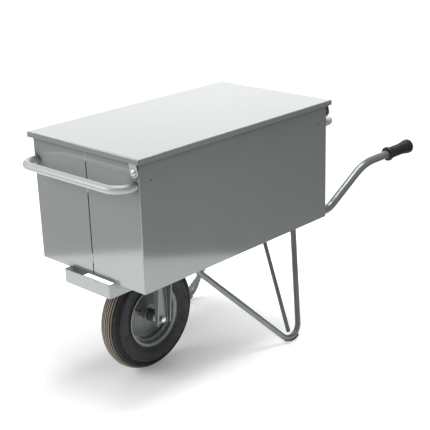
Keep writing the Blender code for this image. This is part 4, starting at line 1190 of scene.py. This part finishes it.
def build_axle():
    """A plain rod with a thread at both ends."""
    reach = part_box("axle")[1].y
    half = [(0, reach), (AXLE_RADIUS - 0.0010, reach), (AXLE_RADIUS - 0.0004, reach - 0.0008)]
    for i in range(13):
        at = reach - 0.0012 - i * AXLE_THREAD_PITCH
        half += [(AXLE_RADIUS, at), (AXLE_RADIUS - 0.0007, at - AXLE_THREAD_PITCH / 2)]
    profile = half + [(r, -y) for r, y in reversed(half)]
    add_turned("axle_shaft", profile, WHEEL_CENTRE, ZINC, FRAME_BODY, ["axle"], 48, closed=False)


def build_valve(place):
    stem = [(0, 0), (0.0050, 0), (0.0050, 0.0010), (0.0040, 0.0030), (0.0038, 0.0220), (0.0034, 0.0240),
            (0.0034, 0.0298), (0, 0.0298)]
    cap = [(0, 0.0303), (0.0045, 0.0303), (0.0045, 0.0365), (0.0038, 0.0380), (0, 0.0380)]
    shape = bmesh.new()
    lathe_into(shape, stem, place, 32, closed=False)
    finish_piece("valve_rubber_stem", shape, RUBBER, WHEEL_BODY, ["valve_stem"])

    def knurl(turn, radius, along):
        if radius <= 0.004:
            return 0
        return 0.00022 if sin(turn * 12) > 0 else -0.00022

    shape = bmesh.new()
    lathe_into(shape, cap, place, 48, closed=False, wobble=knurl)
    finish_piece("valve_dust_cap", shape, RUBBER, WHEEL_BODY, ["valve_cap"])


# ---------------------------------------------------------------- studio
def build_camera():
    level = cos(CAMERA_PITCH)
    ahead = Vector((level * cos(CAMERA_YAW), level * sin(CAMERA_YAW), sin(CAMERA_PITCH)))
    right = ahead.cross(Vector((0, 0, 1))).normalized()
    up = right.cross(ahead)
    turned_right = right * cos(CAMERA_ROLL) + up * sin(CAMERA_ROLL)
    turned_up = up * cos(CAMERA_ROLL) - right * sin(CAMERA_ROLL)
    camera = bpy.data.objects.new("camera", bpy.data.cameras.new("camera"))
    bpy.context.scene.collection.objects.link(camera)
    camera.matrix_world = (Matrix.Translation(CAMERA_PLACE)
                           @ Matrix((turned_right, turned_up, -ahead)).transposed().to_4x4())
    camera.data.sensor_width = 36
    camera.data.lens = CAMERA_LENS
    camera.data.clip_start = 0.05
    camera.data.clip_end = 40
    bpy.context.scene.camera = camera
    return camera


def softbox(name, place, target, width, height, radiance):
    light = bpy.data.lights.new(name, "AREA")
    light.shape = "RECTANGLE"
    light.size = width
    light.size_y = height
    light.energy = pi * width * height * radiance
    lamp = bpy.data.objects.new(name, light)
    bpy.context.scene.collection.objects.link(lamp)
    lamp.location = place
    lamp.rotation_euler = (Vector(target) - Vector(place)).to_track_quat("-Z", "Y").to_euler()
    lamp.visible_camera = False
    return lamp


def add_ground(name, width, length, place, finish):
    shape = bmesh.new()
    bmesh.ops.create_grid(shape, x_segments=2, y_segments=2, size=0.5)
    bmesh.ops.transform(shape, verts=shape.verts, matrix=place @ Matrix.Diagonal((length, width, 1, 1)))
    mesh = bpy.data.meshes.new(name)
    shape.to_mesh(mesh)
    shape.free()
    mesh.materials.append(finish)
    ground = bpy.data.objects.new(name, mesh)
    bpy.context.scene.collection.objects.link(ground)
    return ground


def build_floor():
    """A pale floor that glows, which is painted light: the glow is weak under the barrow and stronger round
    it, lightening and shaping the shadow, and far behind it the glow makes the floor pure white.
    """
    floor = Shader("studio_floor", Roughness=0.6)
    floor.surface.inputs["Base Color"].default_value = (0.92, 0.92, 0.92, 1)
    offset = floor.node("ShaderNodeVectorMath", {0: floor.place, 1: FLOOR_GLOW_MIDDLE}, operation="SUBTRACT")
    away = floor.node("ShaderNodeVectorMath", {0: offset.outputs[0]}, operation="LENGTH").outputs["Value"]
    # Painted light: the glow rises from weak under the barrow to stronger round it, lightening the shadow's
    # edge.
    near = floor.spread(away, 0.25, 0.62, FLOOR_GLOW_UNDER, FLOOR_GLOW_ROUND)
    floor.surface.inputs["Emission Color"].default_value = (1, 1, 1, 1)
    far = floor.spread(away, 1.9, 5.0, 0.0, FLOOR_GLOW_FAR)
    floor.set("Emission Strength", floor.maths("ADD", near, far))
    return add_ground("floor", FLOOR_SIZE, FLOOR_SIZE, Matrix.Translation((0, 0, -0.0004)), floor.material)


def build_flag(name, direction, distance, shade):
    """A dark card on the floor, hidden from the camera, that darkens the panels' reflections."""
    card = Shader(name + "_card", Roughness=0.9)
    card.surface.inputs["Base Color"].default_value = (shade, shade, shade, 1)
    direction = Vector(direction).normalized()
    turn = direction.to_track_quat("X", "Z").to_matrix().to_4x4()
    place = Matrix.Translation(direction * (distance + FLAG_LENGTH / 2) + Vector((0, 0, 0.001))) @ turn
    flag = add_ground(name, FLAG_WIDTH, FLAG_LENGTH, place, card.material)
    flag.visible_camera = False
    flag.visible_shadow = False
    return flag


def build_world():
    world = bpy.data.worlds.new("studio")
    world.use_nodes = True
    background = world.node_tree.nodes["Background"]
    background.inputs["Color"].default_value = (0.98, 0.99, 1.0, 1)
    background.inputs["Strength"].default_value = WORLD_STRENGTH
    bpy.context.scene.world = world


def build_studio():
    build_world()
    bpy.context.scene.view_settings.view_transform = "Standard"
    target = (0.2, 0, 0.4)
    build_camera()
    build_floor()
    build_flag("front_flag", (0.659, -0.754, 0), 1.73, 0.20)
    build_flag("side_flag", (-0.688, 0.725, 0), 1.05, 0.13)
    softbox("overhead_softbox", (-0.25, -0.05, 3.2), target, 1.9, 1.9, 7.6)
    softbox("back_softbox", (-3.2, -3.0, 2.4), target, 4.2, 2.4, 1.28)
    softbox("front_softbox", (3.0, -1.5, 1.8), target, 2.0, 2.0, 4.9)


# ---------------------------------------------------------------- everything together
build_cross_tubes()
build_bumper()
for label, side in (("left", 1), ("right", -1)):
    build_frame_side(label, side)
    build_shell(label, side)
build_seam_welds()
build_box_bolts()
build_lid()
for label, outward, panel_x in (("front", 1, BOX_FRONT), ("rear", -1, BOX_REAR)):
    build_loop(label, outward, panel_x)
    build_hinge(label, outward)
build_tyre()
build_valve(build_rim())
build_disc()
build_hub()
build_axle()
for name, finish in (("box_floor", PAINT), ("inner_tube", RUBBER)):
    NODES[name].data.materials.clear()
    NODES[name].data.materials.append(finish)
build_studio()
